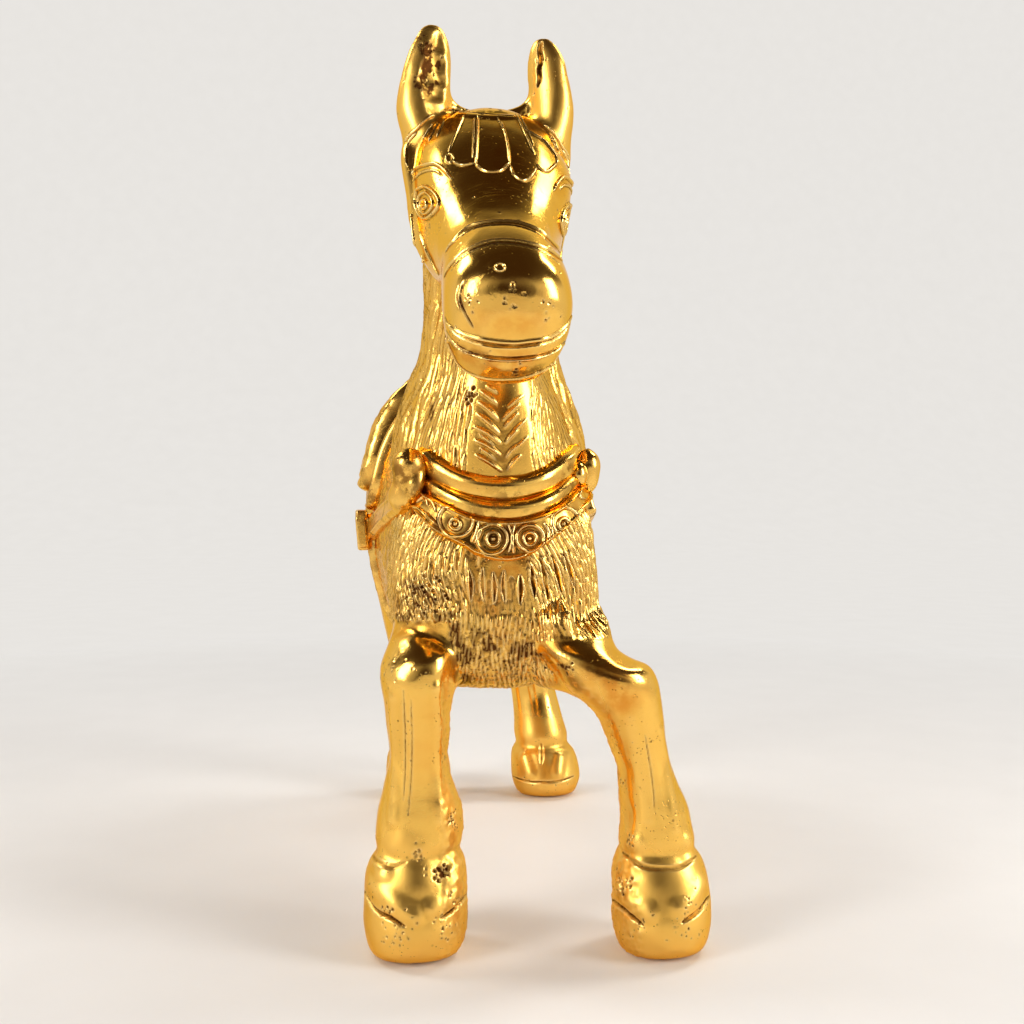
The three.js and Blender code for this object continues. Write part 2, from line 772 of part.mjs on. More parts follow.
// The same for a line that turns about the middle of the chest, in a plane that rises to the rear.
function chestSpot(turn, frontHeight, rise = () => 0) {
  const angle = THREE.MathUtils.degToRad(turn);
  const start = new THREE.Vector3(0, collarMiddle, frontHeight + collarSlope * (collarMiddle - trunkFront));
  const way = new THREE.Vector3(Math.sin(angle), -Math.cos(angle), -Math.cos(angle) * collarSlope);
  way.normalize();
  start.z += rise(bodySpot(start, way).point.x);
  return bodySpot(start, way).point;
}

// How far the rolls bend up at a place to either side of the middle.
const rollRise = (x) => Math.min(collarCurve * x * x, collarLift);

// A roll that follows the chest from one boss to the other.
function rollForm({ drop, tall, deep }, distance = 0) {
  const count = 24;
  const spots = Array.from(
    { length: count + 1 },
    (_, i) => chestSpot(collarSpread * ((2 * i) / count - 1), collarHeight - drop, rollRise),
  );
  const upright = new THREE.Vector3(0, -collarSlope, 1).normalize();
  const rings = spots.map((spot, i) => {
    const along = spots[Math.min(i + 1, count)].clone().sub(spots[Math.max(i - 1, 0)]).normalize();
    const out = new THREE.Vector3().crossVectors(along, upright).normalize();
    return oval(8, deep + distance, tall + distance, tall + distance).map(([a, b]) =>
      spot.clone().addScaledVector(out, a).addScaledVector(upright, b),
    );
  });
  return loft(rings);
}

// The crescent between the band's upper and lower curves, carried back to the shoulders.
const bandTopAt = (x) => bandTop + bandTopCurve * x * x;
const bandBottomAt = (x) => bandBottom + bandBottomCurve * x * x;

function bandProfile(distance = 0) {
  const steps = 12;
  const places = Array.from({ length: steps + 1 }, (_, i) => bandReach * ((2 * i) / steps - 1));
  const shape = new THREE.Shape([
    ...places.map((x) => new THREE.Vector2(x, bandBottomAt(x) - distance)),
    ...places.reverse().map((x) => new THREE.Vector2(x, bandTopAt(x) + distance)),
  ]);
  const depth = collarMiddle - trunkFront + trunkWidth / 2;
  const geometry = new THREE.ExtrudeGeometry(shape, { depth, bevelEnabled: false });
  geometry.rotateX(Math.PI / 2);
  geometry.translate(0, collarMiddle, 0);
  return toSolid(geometry);
}

function rosetteGeometry(radius) {
  const profile = [
    [0, -bandThickness],
    [radius, -bandThickness],
    [radius, rosetteRise * 0.7],
    [radius * 0.88, rosetteRise],
    [radius * 0.74, rosetteRise * 0.3],
    [radius * 0.44, rosetteRise * 0.3],
    [radius * 0.34, rosetteRise * 0.9],
    [0, rosetteRise * 0.6],
  ].map(([r, h]) => new THREE.Vector2(r, h));
  return new THREE.LatheGeometry(profile, 14);
}

const bothRolls = () => rollForm(upperRoll, seam).add(rollForm(lowerRoll, seam));

// The breast band: a crescent with a row of ringed rosettes.
function makeBand() {
  let band = bodyForm(seam + bandThickness).intersect(bandProfile());
  for (const [reach, radius] of rosettes) {
    for (const x of [-reach, reach]) {
      const start = new THREE.Vector3(x, collarMiddle, (bandTopAt(x) + bandBottomAt(x)) / 2);
      const { point, out } = bodySpot(start, new THREE.Vector3(0, -1, 0));
      const geometry = rosetteGeometry(radius);
      const up = new THREE.Vector3(0, 1, 0);
      geometry.applyQuaternion(new THREE.Quaternion().setFromUnitVectors(up, out));
      geometry.translate(...point.addScaledVector(out, bandThickness).toArray());
      band = band.add(toSolid(geometry));
    }
  }
  return band.subtract(bodyForm(seam)).subtract(bothRolls()).subtract(bothBosses(seam));
}

// The bosses that close the collar's ends at the shoulders.
const bossSpot = (side) => chestSpot(side * bossTurn, bossHeight).setZ(bossHeight);

function bossForm(side, distance = 0) {
  const point = bossSpot(side);
  const geometry = new THREE.SphereGeometry(1, 14, 10);
  geometry.rotateX(Math.PI / 2);
  const across = bossWide / 2 + distance;
  geometry.scale(across, across, bossTall / 2 + distance);
  geometry.translate(point.x + side * bossOut, point.y, point.z);
  return toSolid(geometry);
}

const bothBosses = (distance) => bossForm(-1, distance).add(bossForm(1, distance));
const makeBoss = (side) => bossForm(side).subtract(bodyForm(seam));

function makeRoll(roll) {
  const cut = rollForm(roll).subtract(bodyForm(seam)).subtract(bothBosses(seam));
  return roll === upperRoll ? cut : cut.subtract(rollForm(upperRoll, seam));
}

// The strap from a boss back to the girth buckle, along the shoulder.
function strapForm(side, distance = 0) {
  const front = bossSpot(side).y;
  const rear = girthY - buckleWide / 2 - seam;
  const strapRear = buckleTop - buckleTall / 2;
  const frontTop = bossHeight - bossTall / 2 + strapWidth * 0.7;
  const shape = new THREE.Shape();
  shape.moveTo(front, frontTop + distance);
  shape.lineTo(front, frontTop - strapWidth - distance);
  shape.lineTo(rear + distance, strapRear - strapWidth / 2 - distance);
  shape.lineTo(rear + distance, strapRear + strapWidth / 2 + distance);
  const outline = sideProfile(shape, sideSpan(side));
  return bodyForm(seam + bandThickness + distance).intersect(outline);
}

const makeStrap = (side) =>
  strapForm(side)
    .subtract(bodyForm(seam))
    .subtract(bossForm(side, seam))
    .subtract(bandProfile(seam))
    .subtract(bothRolls());

// Mane: a sheet of locks over the crest and both sides of the neck, open at the throat.
function makeMane() {
  const spine = neckRings(seam).slice(3, -3).map((ring) => ring[ring.length / 4]);
  const crest = loft(tubeRings(spine, spine.map((_, i) => crestAt(i / (spine.length - 1))), 12));
  const throat = block(
    [headShift - throatWidth / 2, headShift + throatWidth / 2],
    [-beyond, neckBaseY - neckForward * 0.9],
    [0, beyond],
  );
  const hem = new THREE.Shape();
  hem.moveTo(-beyond, beyond);
  hem.lineTo(-beyond, maneHem);
  for (let i = 0; i < maneLocks; i++) {
    const start = maneFront + i * lockWidth;
    hem.lineTo(start, maneHem + lockRise * i);
    hem.quadraticCurveTo(
      start + lockWidth * 0.35,
      maneHem + lockRise * i - lockDrop,
      start + lockWidth,
      maneHem + lockRise * (i + 1),
    );
  }
  hem.lineTo(beyond, beyond);
  const above = sideProfile(hem, wholeWidth);
  return neckForm(seam + maneThickness)
    .add(crest)
    .intersect(above)
    .subtract(throat)
    .subtract(bodyForm(seam))
    .subtract(headForm(seam))
    .subtract(bothRolls())
    .subtract(bothBosses(seam))
    .subtract(strapForm(-1, seam))
    .subtract(strapForm(1, seam))
    .subtract(bothEars(seam));
}

function crestAt(share) {
  const swell = Math.sin(Math.PI * Math.min(0.12 + share * 0.8, 1));
  return [(crestWidth / 2) * (0.6 + 0.4 * swell), maneThickness + crestRise * swell];
}

const clothSide = (distance = 0) =>
  sideProfile(
    roundedSide(
      clothFront - distance,
      clothFront + clothLength + distance,
      clothHem - distance,
      beyond,
      clothCorner,
    ),
    wholeWidth,
  );
const makeCloth = () =>
  trunkForm(seam + clothThickness)
    .intersect(clothSide())
    .subtract(trunkForm(seam))
    .subtract(neckForm(seam + maneThickness + seam));

// How far the seat rises above the flaps: a roll at the front and one at the rear, over the back.
function saddleRise(y, high) {
  const roll = (middle, length, rise) =>
    rise * (1 - THREE.MathUtils.smoothstep(Math.abs(y - middle), 0, length));
  const front = roll(saddleFront + pommelLength * 0.4, pommelLength, pommelRise);
  const rear = roll(saddleRear - cantleLength * 0.4, cantleLength, cantleRise);
  return (front + rear) * THREE.MathUtils.smoothstep(high, 0.6, 1);
}

function makeSaddle() {
  const under = seam + clothThickness + seam;
  const middle = (bellyHeight + backHeight) / 2;
  const rings = smoothRows(trunkRows, 60)
    .map((row) => trunkRing(row, 24))
    .filter(([{ y }]) => y > saddleFront - 3 && y < saddleRear + 3);
  const outer = grow(rings, ({ y, z }) => {
    const high = Math.max(0, (z - middle) / (backHeight - middle));
    return under + saddleThickness + saddleRise(y, high);
  });
  const side = roundedSide(saddleFront, saddleRear, saddleHem, beyond, clothCorner);
  return loft(outer)
    .intersect(sideProfile(side, wholeWidth))
    .subtract(trunkForm(under))
    .subtract(neckForm(seam + maneThickness + seam));
}

const makeGirth = () =>
  trunkForm(seam + girthThickness)
    .intersect(block(wholeWidth, [girthY - girthWidth / 2, girthY + girthWidth / 2], [0, beyond]))
    .subtract(trunkForm(seam))
    .subtract(clothSide(seam));

// Buckle: a frame with a middle bar that lies on the girth below the saddle cloth.
function makeBuckle(side) {
  const under = seam + girthThickness + seam;
  const bottom = buckleTop - buckleTall;
  const front = girthY - buckleWide / 2;
  const rear = girthY + buckleWide / 2;
  const middle = bottom + buckleTall / 2;
  const corner = buckleBar * 0.7;
  const frame = sideProfile(roundedSide(front, rear, bottom, buckleTop, corner), sideSpan(side));
  const window = (low, high) =>
    block(wholeWidth, [front + buckleBar, rear - buckleBar], [low, high]);
  return trunkForm(under + buckleThickness)
    .intersect(frame)
    .subtract(trunkForm(under))
    .subtract(clothSide(seam))
    .subtract(window(bottom + buckleBar, middle - buckleBar / 2))
    .subtract(window(middle + buckleBar / 2, buckleTop - buckleBar));
}

const horse = new THREE.Group();
const add = (name, solid, material) => horse.add(meshOf(name, solid, material));

add("trunk_right", makeTrunkHalf(-1), chased);
add("trunk_left", makeTrunkHalf(1), chased);
add("neck", makeNeck(), chased);
add("mane", makeMane(), chased);
add("head", makeHead(), polished);
for (const [name, ear] of Object.entries(ears)) add(name, makeEar(ear), polished);
for (const [name, leg] of Object.entries(legs)) add(name, makeLeg(leg), polished);
add("tail", makeTail(), chased);
add("collar_upper_roll", makeRoll(upperRoll), polished);
add("collar_lower_roll", makeRoll(lowerRoll), polished);
add("breast_band", makeBand(), polished);
add("collar_boss_right", makeBoss(-1), polished);
add("collar_boss_left", makeBoss(1), polished);
add("shoulder_strap_right", makeStrap(-1), polished);
add("shoulder_strap_left", makeStrap(1), polished);
add("saddle_cloth", makeCloth(), chased);
add("saddle", makeSaddle(), polished);
add("girth", makeGirth(), polished);
add("girth_buckle_right", makeBuckle(-1), polished);
add("girth_buckle_left", makeBuckle(1), polished);

const extent = new THREE.Box3().setFromObject(horse);
const footprint = extent.getCenter(new THREE.Vector3());
horse.position.set(-footprint.x, -footprint.y, -extent.min.z);

export default horse;
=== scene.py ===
"""Gilt cast-metal horse figurine: the sculpted skin, chasing and finish over the CAD frame."""

import math

import bpy
import numpy as np
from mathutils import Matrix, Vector
from mathutils.bvhtree import BVHTree


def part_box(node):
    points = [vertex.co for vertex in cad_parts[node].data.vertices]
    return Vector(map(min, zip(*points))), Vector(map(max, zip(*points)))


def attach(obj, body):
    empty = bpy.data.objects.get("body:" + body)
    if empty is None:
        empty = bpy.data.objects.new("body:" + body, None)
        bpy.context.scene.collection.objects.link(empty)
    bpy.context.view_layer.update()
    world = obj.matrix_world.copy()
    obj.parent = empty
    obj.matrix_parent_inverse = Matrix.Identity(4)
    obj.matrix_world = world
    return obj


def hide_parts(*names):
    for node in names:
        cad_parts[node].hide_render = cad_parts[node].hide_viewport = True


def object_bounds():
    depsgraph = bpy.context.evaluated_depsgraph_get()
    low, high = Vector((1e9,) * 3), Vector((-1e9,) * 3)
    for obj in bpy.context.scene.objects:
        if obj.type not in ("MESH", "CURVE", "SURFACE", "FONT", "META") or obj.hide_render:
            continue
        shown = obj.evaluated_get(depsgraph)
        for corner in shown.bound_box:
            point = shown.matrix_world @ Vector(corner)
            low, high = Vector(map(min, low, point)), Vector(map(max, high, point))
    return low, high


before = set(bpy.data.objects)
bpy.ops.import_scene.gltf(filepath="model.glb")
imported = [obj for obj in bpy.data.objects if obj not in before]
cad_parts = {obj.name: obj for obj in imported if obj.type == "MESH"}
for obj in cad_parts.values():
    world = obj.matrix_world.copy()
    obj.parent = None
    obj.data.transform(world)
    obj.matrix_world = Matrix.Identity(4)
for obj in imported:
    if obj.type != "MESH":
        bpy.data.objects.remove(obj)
cad_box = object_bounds()
random = np.random.default_rng(7)

# The forms are written in millimetres, from the point that the CAD model is drawn from, which lies
# between the trunk's halves and 40.5 mm before the girth. SEAM is the CAD model's gap between pieces.
MM = 0.001
SEAM, GIRTH_Y = 0.3, 40.5
ORIGIN = np.array([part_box("trunk_left")[0].x / MM - SEAM / 2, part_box("girth")[0].y / MM - GIRTH_Y, 0])

TRUNK_FRONT, TRUNK_LENGTH, TRUNK_WIDTH = -6, 98, 38
BELLY, BACK = 39.4, 93.4
# shares of the length, the width, the height at the top and bottom, and the height of the widest place
TRUNK = [
    [0.0, 0.16, 0.46, 0.24, 0.35],
    [0.012, 0.52, 0.6, 0.14, 0.3],
    [0.045, 0.76, 0.72, 0.06, 0.28],
    [0.11, 0.88, 0.86, 0.03, 0.29],
    [0.2, 0.91, 0.97, 0.02, 0.36],
    [0.32, 0.95, 1.0, 0.0, 0.46],
    [0.46, 1.0, 0.985, 0.0, 0.52],
    [0.58, 0.99, 0.97, 0.03, 0.54],
    [0.68, 0.97, 0.985, 0.08, 0.55],
    [0.78, 0.95, 1.0, 0.13, 0.56],
    [0.87, 0.86, 0.98, 0.2, 0.57],
    [0.94, 0.68, 0.9, 0.3, 0.59],
    [0.985, 0.42, 0.79, 0.42, 0.61],
    [1.0, 0.14, 0.69, 0.54, 0.62],
]
NECK_Y, NECK_Z, NECK_TALL, NECK_FORWARD = 19, 68.2, 58, 13.5
NECK_WIDTH, NECK_DEPTH, HEAD_X = 31, 38, -1.8
# shares of the height and the reach forward, the lean in degrees, then shares of the width and the depth
NECK = [
    [0.0, 0.0, 27, 1.0, 0.6, 0.46],
    [0.14, 0.19, 26, 0.99, 0.585, 0.46],
    [0.28, 0.36, 24, 0.92, 0.53, 0.455],
    [0.39, 0.48, 21, 0.77, 0.48, 0.44],
    [0.49, 0.59, 18, 0.63, 0.43, 0.42],
    [0.64, 0.74, 12, 0.59, 0.37, 0.385],
    [0.8, 0.88, 5, 0.58, 0.32, 0.345],
    [0.91, 0.96, 0, 0.53, 0.27, 0.29],
    [0.97, 0.99, 0, 0.4, 0.2, 0.2],
    [1.0, 1.0, 0, 0.18, 0.09, 0.1],
]
HEAD_LENGTH, HEAD_WIDTH, HEAD_DEPTH = 53, 25.6, 24
HEAD_TILT, HEAD_TURN = math.radians(41), math.radians(-1.5)
POLL = np.array([HEAD_X, 5.5, 129.2])
# shares of the length, the width, and the depth above and below the middle
HEAD = [
    [0.0, 0.34, 0.19, 0.22],
    [0.045, 0.66, 0.33, 0.42],
    [0.13, 0.9, 0.41, 0.54],
    [0.24, 1.0, 0.42, 0.6],
    [0.35, 0.98, 0.4, 0.61],
    [0.47, 0.87, 0.36, 0.54],
    [0.59, 0.74, 0.33, 0.43],
    [0.69, 0.68, 0.32, 0.4],
    [0.79, 0.69, 0.335, 0.45],
    [0.89, 0.68, 0.32, 0.49],
    [0.955, 0.57, 0.25, 0.43],
    [1.0, 0.3, 0.12, 0.26],
]
EAR_TALL, EAR_Z, EAR_SPREAD, EAR_WIDTH, EAR_DEPTH = 21.8, 125, 9.8, 8.5, 5.6
EAR_Y, EAR_LEAN = 0.6, 1.6
# the side, the turn in radians, and the size
EARS = {"ear_right": (-1, 0.26, 1.0), "ear_left": (1, 0.6, 0.94)}
# shares of the height, the spread, the width and the depth
EAR = [
    [-0.35, 0.8, 0.5, 1.4],
    [-0.15, 0.92, 0.78, 1.7],
    [0.03, 1.0, 0.9, 1.7],
    [0.22, 1.06, 0.96, 1.45],
    [0.41, 1.07, 1.01, 1.2],
    [0.6, 1.02, 0.98, 0.95],
    [0.79, 0.95, 0.84, 0.75],
    [0.92, 0.89, 0.6, 0.52],
    [0.985, 0.86, 0.34, 0.3],
    [1.0, 0.86, 0.16, 0.14],
]
HOOF, WEB = 16.4, 0.13
# the middle of the sole, the place across of the root, how stout, and whether it is a hind leg
LEGS = {
    "foreleg_right": ((-13.4, 1.2), -11.8, 1.0, False),
    "foreleg_left": ((25.6, -3), 12.8, 0.94, False),
    "hindleg_right": ((-7, 97), -10.6, 0.93, True),
    "hindleg_left": ((23.5, 95.6), 10.6, 0.99, True),
}
# height, shares of the hoof for half the width, the front and the rear, then how far the middle has
# gone across to the root, and its place along in hooves
FORELEG = [
    [0.0, 0.36, 0.28, 0.34, 0, 0],
    [0.8, 0.43, 0.42, 0.46, 0, 0],
    [2.6, 0.475, 0.52, 0.51, 0, 0],
    [5.4, 0.505, 0.56, 0.53, 0, 0],
    [9.0, 0.5, 0.53, 0.51, 0, 0],
    [12.6, 0.492, 0.48, 0.48, 0.03, 0],
    [15.0, 0.455, 0.425, 0.44, 0.05, 0],
    [16.5, 0.4, 0.38, 0.39, 0.07, 0],
    [18.4, 0.42, 0.4, 0.41, 0.08, 0],
    [22.6, 0.41, 0.39, 0.41, 0.11, 0],
    [26.6, 0.345, 0.345, 0.34, 0.19, -0.03],
    [31.5, 0.303, 0.32, 0.315, 0.28, -0.07],
    [37.6, 0.355, 0.35, 0.38, 0.4, -0.13],
    [43.0, 0.385, 0.4, 0.5, 0.54, -0.17],
    [46.6, 0.38, 0.4, 0.68, 0.72, -0.14],
    [49.6, 0.345, 0.34, 0.75, 0.98, -0.04],
    [52.6, 0.28, 0.2, 0.7, 1, 0.14],
    [55.6, 0.2, 0.11, 0.5, 1, 0.36],
    [58.0, 0.08, 0.06, 0.2, 1, 0.48],
]
HINDLEG = [
    [0.0, 0.36, 0.28, 0.34, 0, 0],
    [0.8, 0.43, 0.42, 0.46, 0, 0],
    [2.4, 0.475, 0.52, 0.51, 0, 0],
    [4.6, 0.505, 0.55, 0.53, 0, 0],
    [7.6, 0.495, 0.51, 0.51, 0.02, 0],
    [10.4, 0.46, 0.45, 0.47, 0.05, 0],
    [12.2, 0.38, 0.37, 0.4, 0.07, 0],
    [14.4, 0.39, 0.39, 0.42, 0.09, 0],
    [18.5, 0.355, 0.36, 0.4, 0.14, 0.02],
    [24.0, 0.325, 0.33, 0.35, 0.22, 0.04],
    [29.5, 0.325, 0.34, 0.38, 0.31, 0.04],
    [34.0, 0.35, 0.39, 0.48, 0.39, 0.0],
    [38.5, 0.37, 0.43, 0.56, 0.46, -0.13],
    [43.5, 0.39, 0.5, 0.54, 0.55, -0.4],
    [50.0, 0.45, 0.65, 0.58, 0.68, -0.78],
    [57.0, 0.53, 0.78, 0.68, 0.8, -1.07],
    [64.5, 0.57, 0.86, 0.84, 0.9, -1.26],
    [71.0, 0.54, 0.82, 0.84, 0.97, -1.34],
    [76.5, 0.44, 0.68, 0.7, 1, -1.36],
    [80.4, 0.28, 0.44, 0.46, 1, -1.38],
    [82.0, 0.1, 0.16, 0.16, 1, -1.38],
]
TAIL_Y, TAIL_Z, TAIL_REACH, TAIL_DROP, TAIL_RADIUS = 86, 86, 15, 58, 4.3
# shares of the reach, the drop and the radius
TAIL = [
    [-0.25, -0.01, 0.62],
    [0.1, 0.03, 0.72],
    [0.55, 0.035, 0.84],
    [0.88, -0.08, 0.95],
    [1.0, -0.3, 1.05],
    [0.98, -0.55, 1.05],
    [0.97, -0.78, 0.8],
    [1.05, -1.0, 0.18],
]


# ---------------------------------------------------------------- forms
def smoothstep(x, low, high):
    """From nought at low to one at high, without a corner."""
    t = np.clip((np.asarray(x, float) - low) / (high - low), 0, 1)
    return t * t * (3 - 2 * t)


def unit(ways):
    """Ways made one long."""
    return ways / np.linalg.norm(ways, axis=-1, keepdims=True)


def bell(value, middle, width):
    """A bell round a middle value."""
    return np.exp(-(((value - middle) / width) ** 2))


def smooth_rows(rows, steps):
    """Rows of a table joined by a smooth curve through each column, at even places."""
    rows = np.array(rows, float)
    place = np.linspace(0, len(rows) - 1, steps + 1)
    k = np.minimum(place.astype(int), len(rows) - 2)
    t = (place - k)[:, None]
    a, b, c, d = (rows[np.clip(k + i, 0, len(rows) - 1)] for i in (-1, 0, 1, 2))
    return b + 0.5 * t * (c - a + t * (2 * a - 5 * b + 4 * c - d + t * (3 * b - a - 3 * c + d)))


def oval(sides, half, above, below, full_above=2.0, full_below=2.0):
    """Places across and up on an oval, whose halves can be fuller than an ellipse's."""
    angle = 2 * math.pi * np.arange(sides) / sides
    up = np.sin(angle) >= -1e-9
    power = np.where(up, 2 / full_above, 2 / full_below)
    swell = lambda v: np.sign(v) * np.abs(v) ** power
    return half * swell(np.cos(angle)), np.where(up, above, below) * swell(np.sin(angle))


def loft(rings):
    """Points and faces of a closed skin through rings, its faces turned outward."""
    rings = np.array(rings)
    count, sides = rings.shape[:2]
    points = np.vstack([rings.reshape(-1, 3), rings[0].mean(0), rings[-1].mean(0)])
    i, j = np.meshgrid(np.arange(count - 1), np.arange(sides), indexing="ij")
    a, b = (i * sides + j).ravel(), (i * sides + (j + 1) % sides).ravel()
    quads = np.stack([a, b, b + sides, a + sides], 1)
    j = np.arange(sides)
    last = (count - 1) * sides
    caps = [np.stack([np.full(sides, count * sides), (j + 1) % sides, j], 1)]
    caps.append(np.stack([np.full(sides, count * sides + 1), last + j, last + (j + 1) % sides], 1))
    faces = quads.tolist() + np.vstack(caps).tolist()
    tris = np.vstack([quads[:, :3], quads[:, [0, 2, 3]]] + caps)
    p = points[tris]
    if np.einsum("ij,ij->i", p[:, 0], np.cross(p[:, 1], p[:, 2])).sum() < 0:
        faces = [f[::-1] for f in faces]
    return points, faces


def trunk_rings(steps=110, sides=72):
    rings = []
    for along, width, top, bottom, widest in smooth_rows(TRUNK, steps):
        tall = BACK - BELLY
        x, z = oval(sides, TRUNK_WIDTH * width / 2, tall * (top - widest), tall * (widest - bottom), 2.2, 2.2)
        y = np.full(sides, TRUNK_FRONT + TRUNK_LENGTH * along)
        rings.append(np.stack([x, y, BELLY + tall * widest + z], 1))
    return rings


def neck_rings(steps=80, sides=64):
    rings = []
    for up, forward, lean, width, front, rear in smooth_rows(NECK, steps):
        tilt = math.radians(lean)
        x, b = oval(sides, NECK_WIDTH * width / 2, NECK_DEPTH * rear, NECK_DEPTH * front, 2, 2.3)
        centre = [HEAD_X * up * up, NECK_Y - NECK_FORWARD * forward, NECK_Z + NECK_TALL * up]
        rings.append(np.stack([x, b * math.cos(tilt), b * math.sin(tilt)], 1) + centre)
    return rings


def head_place(points):
    """From the head's own frame, the face up and the nose along -Y, to the figure's."""
    x, y, z = np.asarray(points, float).T
    y, z = y * math.cos(HEAD_TILT) - z * math.sin(HEAD_TILT), y * math.sin(HEAD_TILT) + z * math.cos(HEAD_TILT)
    x, y = x * math.cos(HEAD_TURN) - y * math.sin(HEAD_TURN), x * math.sin(HEAD_TURN) + y * math.cos(HEAD_TURN)
    return np.stack([x, y, z], 1) + POLL


def head_own(points):
    """The other way: from the figure's frame to the head's own."""
    x, y, z = (np.asarray(points, float) - POLL).T
    x, y = x * math.cos(HEAD_TURN) + y * math.sin(HEAD_TURN), y * math.cos(HEAD_TURN) - x * math.sin(HEAD_TURN)
    y, z = y * math.cos(HEAD_TILT) + z * math.sin(HEAD_TILT), z * math.cos(HEAD_TILT) - y * math.sin(HEAD_TILT)
    return np.stack([x, y, z], 1)


def head_rings(steps=90, sides=72):
    rings = []
    for along, width, top, bottom in smooth_rows(HEAD, steps):
        x, z = oval(sides, HEAD_WIDTH * width / 2, HEAD_DEPTH * top, HEAD_DEPTH * bottom, 2.2, 2.5)
        rings.append(head_place(np.stack([x, np.full(sides, -HEAD_LENGTH * along), z], 1)))
    return rings


def ear_rings(side, turn, size, steps=40, sides=32):
    rings = []
    for up, out, width, depth in smooth_rows(EAR, steps):
        half = EAR_DEPTH * depth / 2
        x, y = oval(sides, EAR_WIDTH * size * width / 2, half, half)
        s, c = math.sin(-side * turn), math.cos(side * turn)
        centre = [HEAD_X + side * EAR_SPREAD * out, EAR_Y - EAR_LEAN * up, EAR_Z + EAR_TALL * size * up]
        rings.append(np.stack([x * c - y * s, x * s + y * c, 0 * x], 1) + centre)
    return rings


def leg_rings(foot, root_x, stout, hind, steps=90, sides=44):
    size, splay = HOOF * stout, root_x - foot[0]
    rings = []
    for z, half, front, rear, across, along in smooth_rows(HINDLEG if hind else FORELEG, steps):
        web = WEB * splay * float(smoothstep(across, 0.38, 0.56))
        a, b = oval(sides, size * half + abs(web), size * rear, size * front, 2.1, 2.2)
        centre = [foot[0] + splay * across + web, foot[1] + HOOF * along, z]
        rings.append(np.stack([a, b, 0 * a], 1) + centre)
    return rings


def tail_rings(steps=90, sides=32):
    rows = smooth_rows(TAIL, steps)
    path = np.stack([0 * rows[:, 0], TAIL_Y + TAIL_REACH * rows[:, 0], TAIL_Z + TAIL_DROP * rows[:, 1]], 1)
    way = unit(np.gradient(path, axis=0))
    rings = []
    for centre, ahead, swell in zip(path, way, rows[:, 2]):
        a, b = oval(sides, TAIL_RADIUS * swell * 1.1, TAIL_RADIUS * swell, TAIL_RADIUS * swell)
        rings.append(centre + np.outer(a, [1, 0, 0]) + np.outer(b, np.cross([1, 0, 0], ahead)))
    return rings


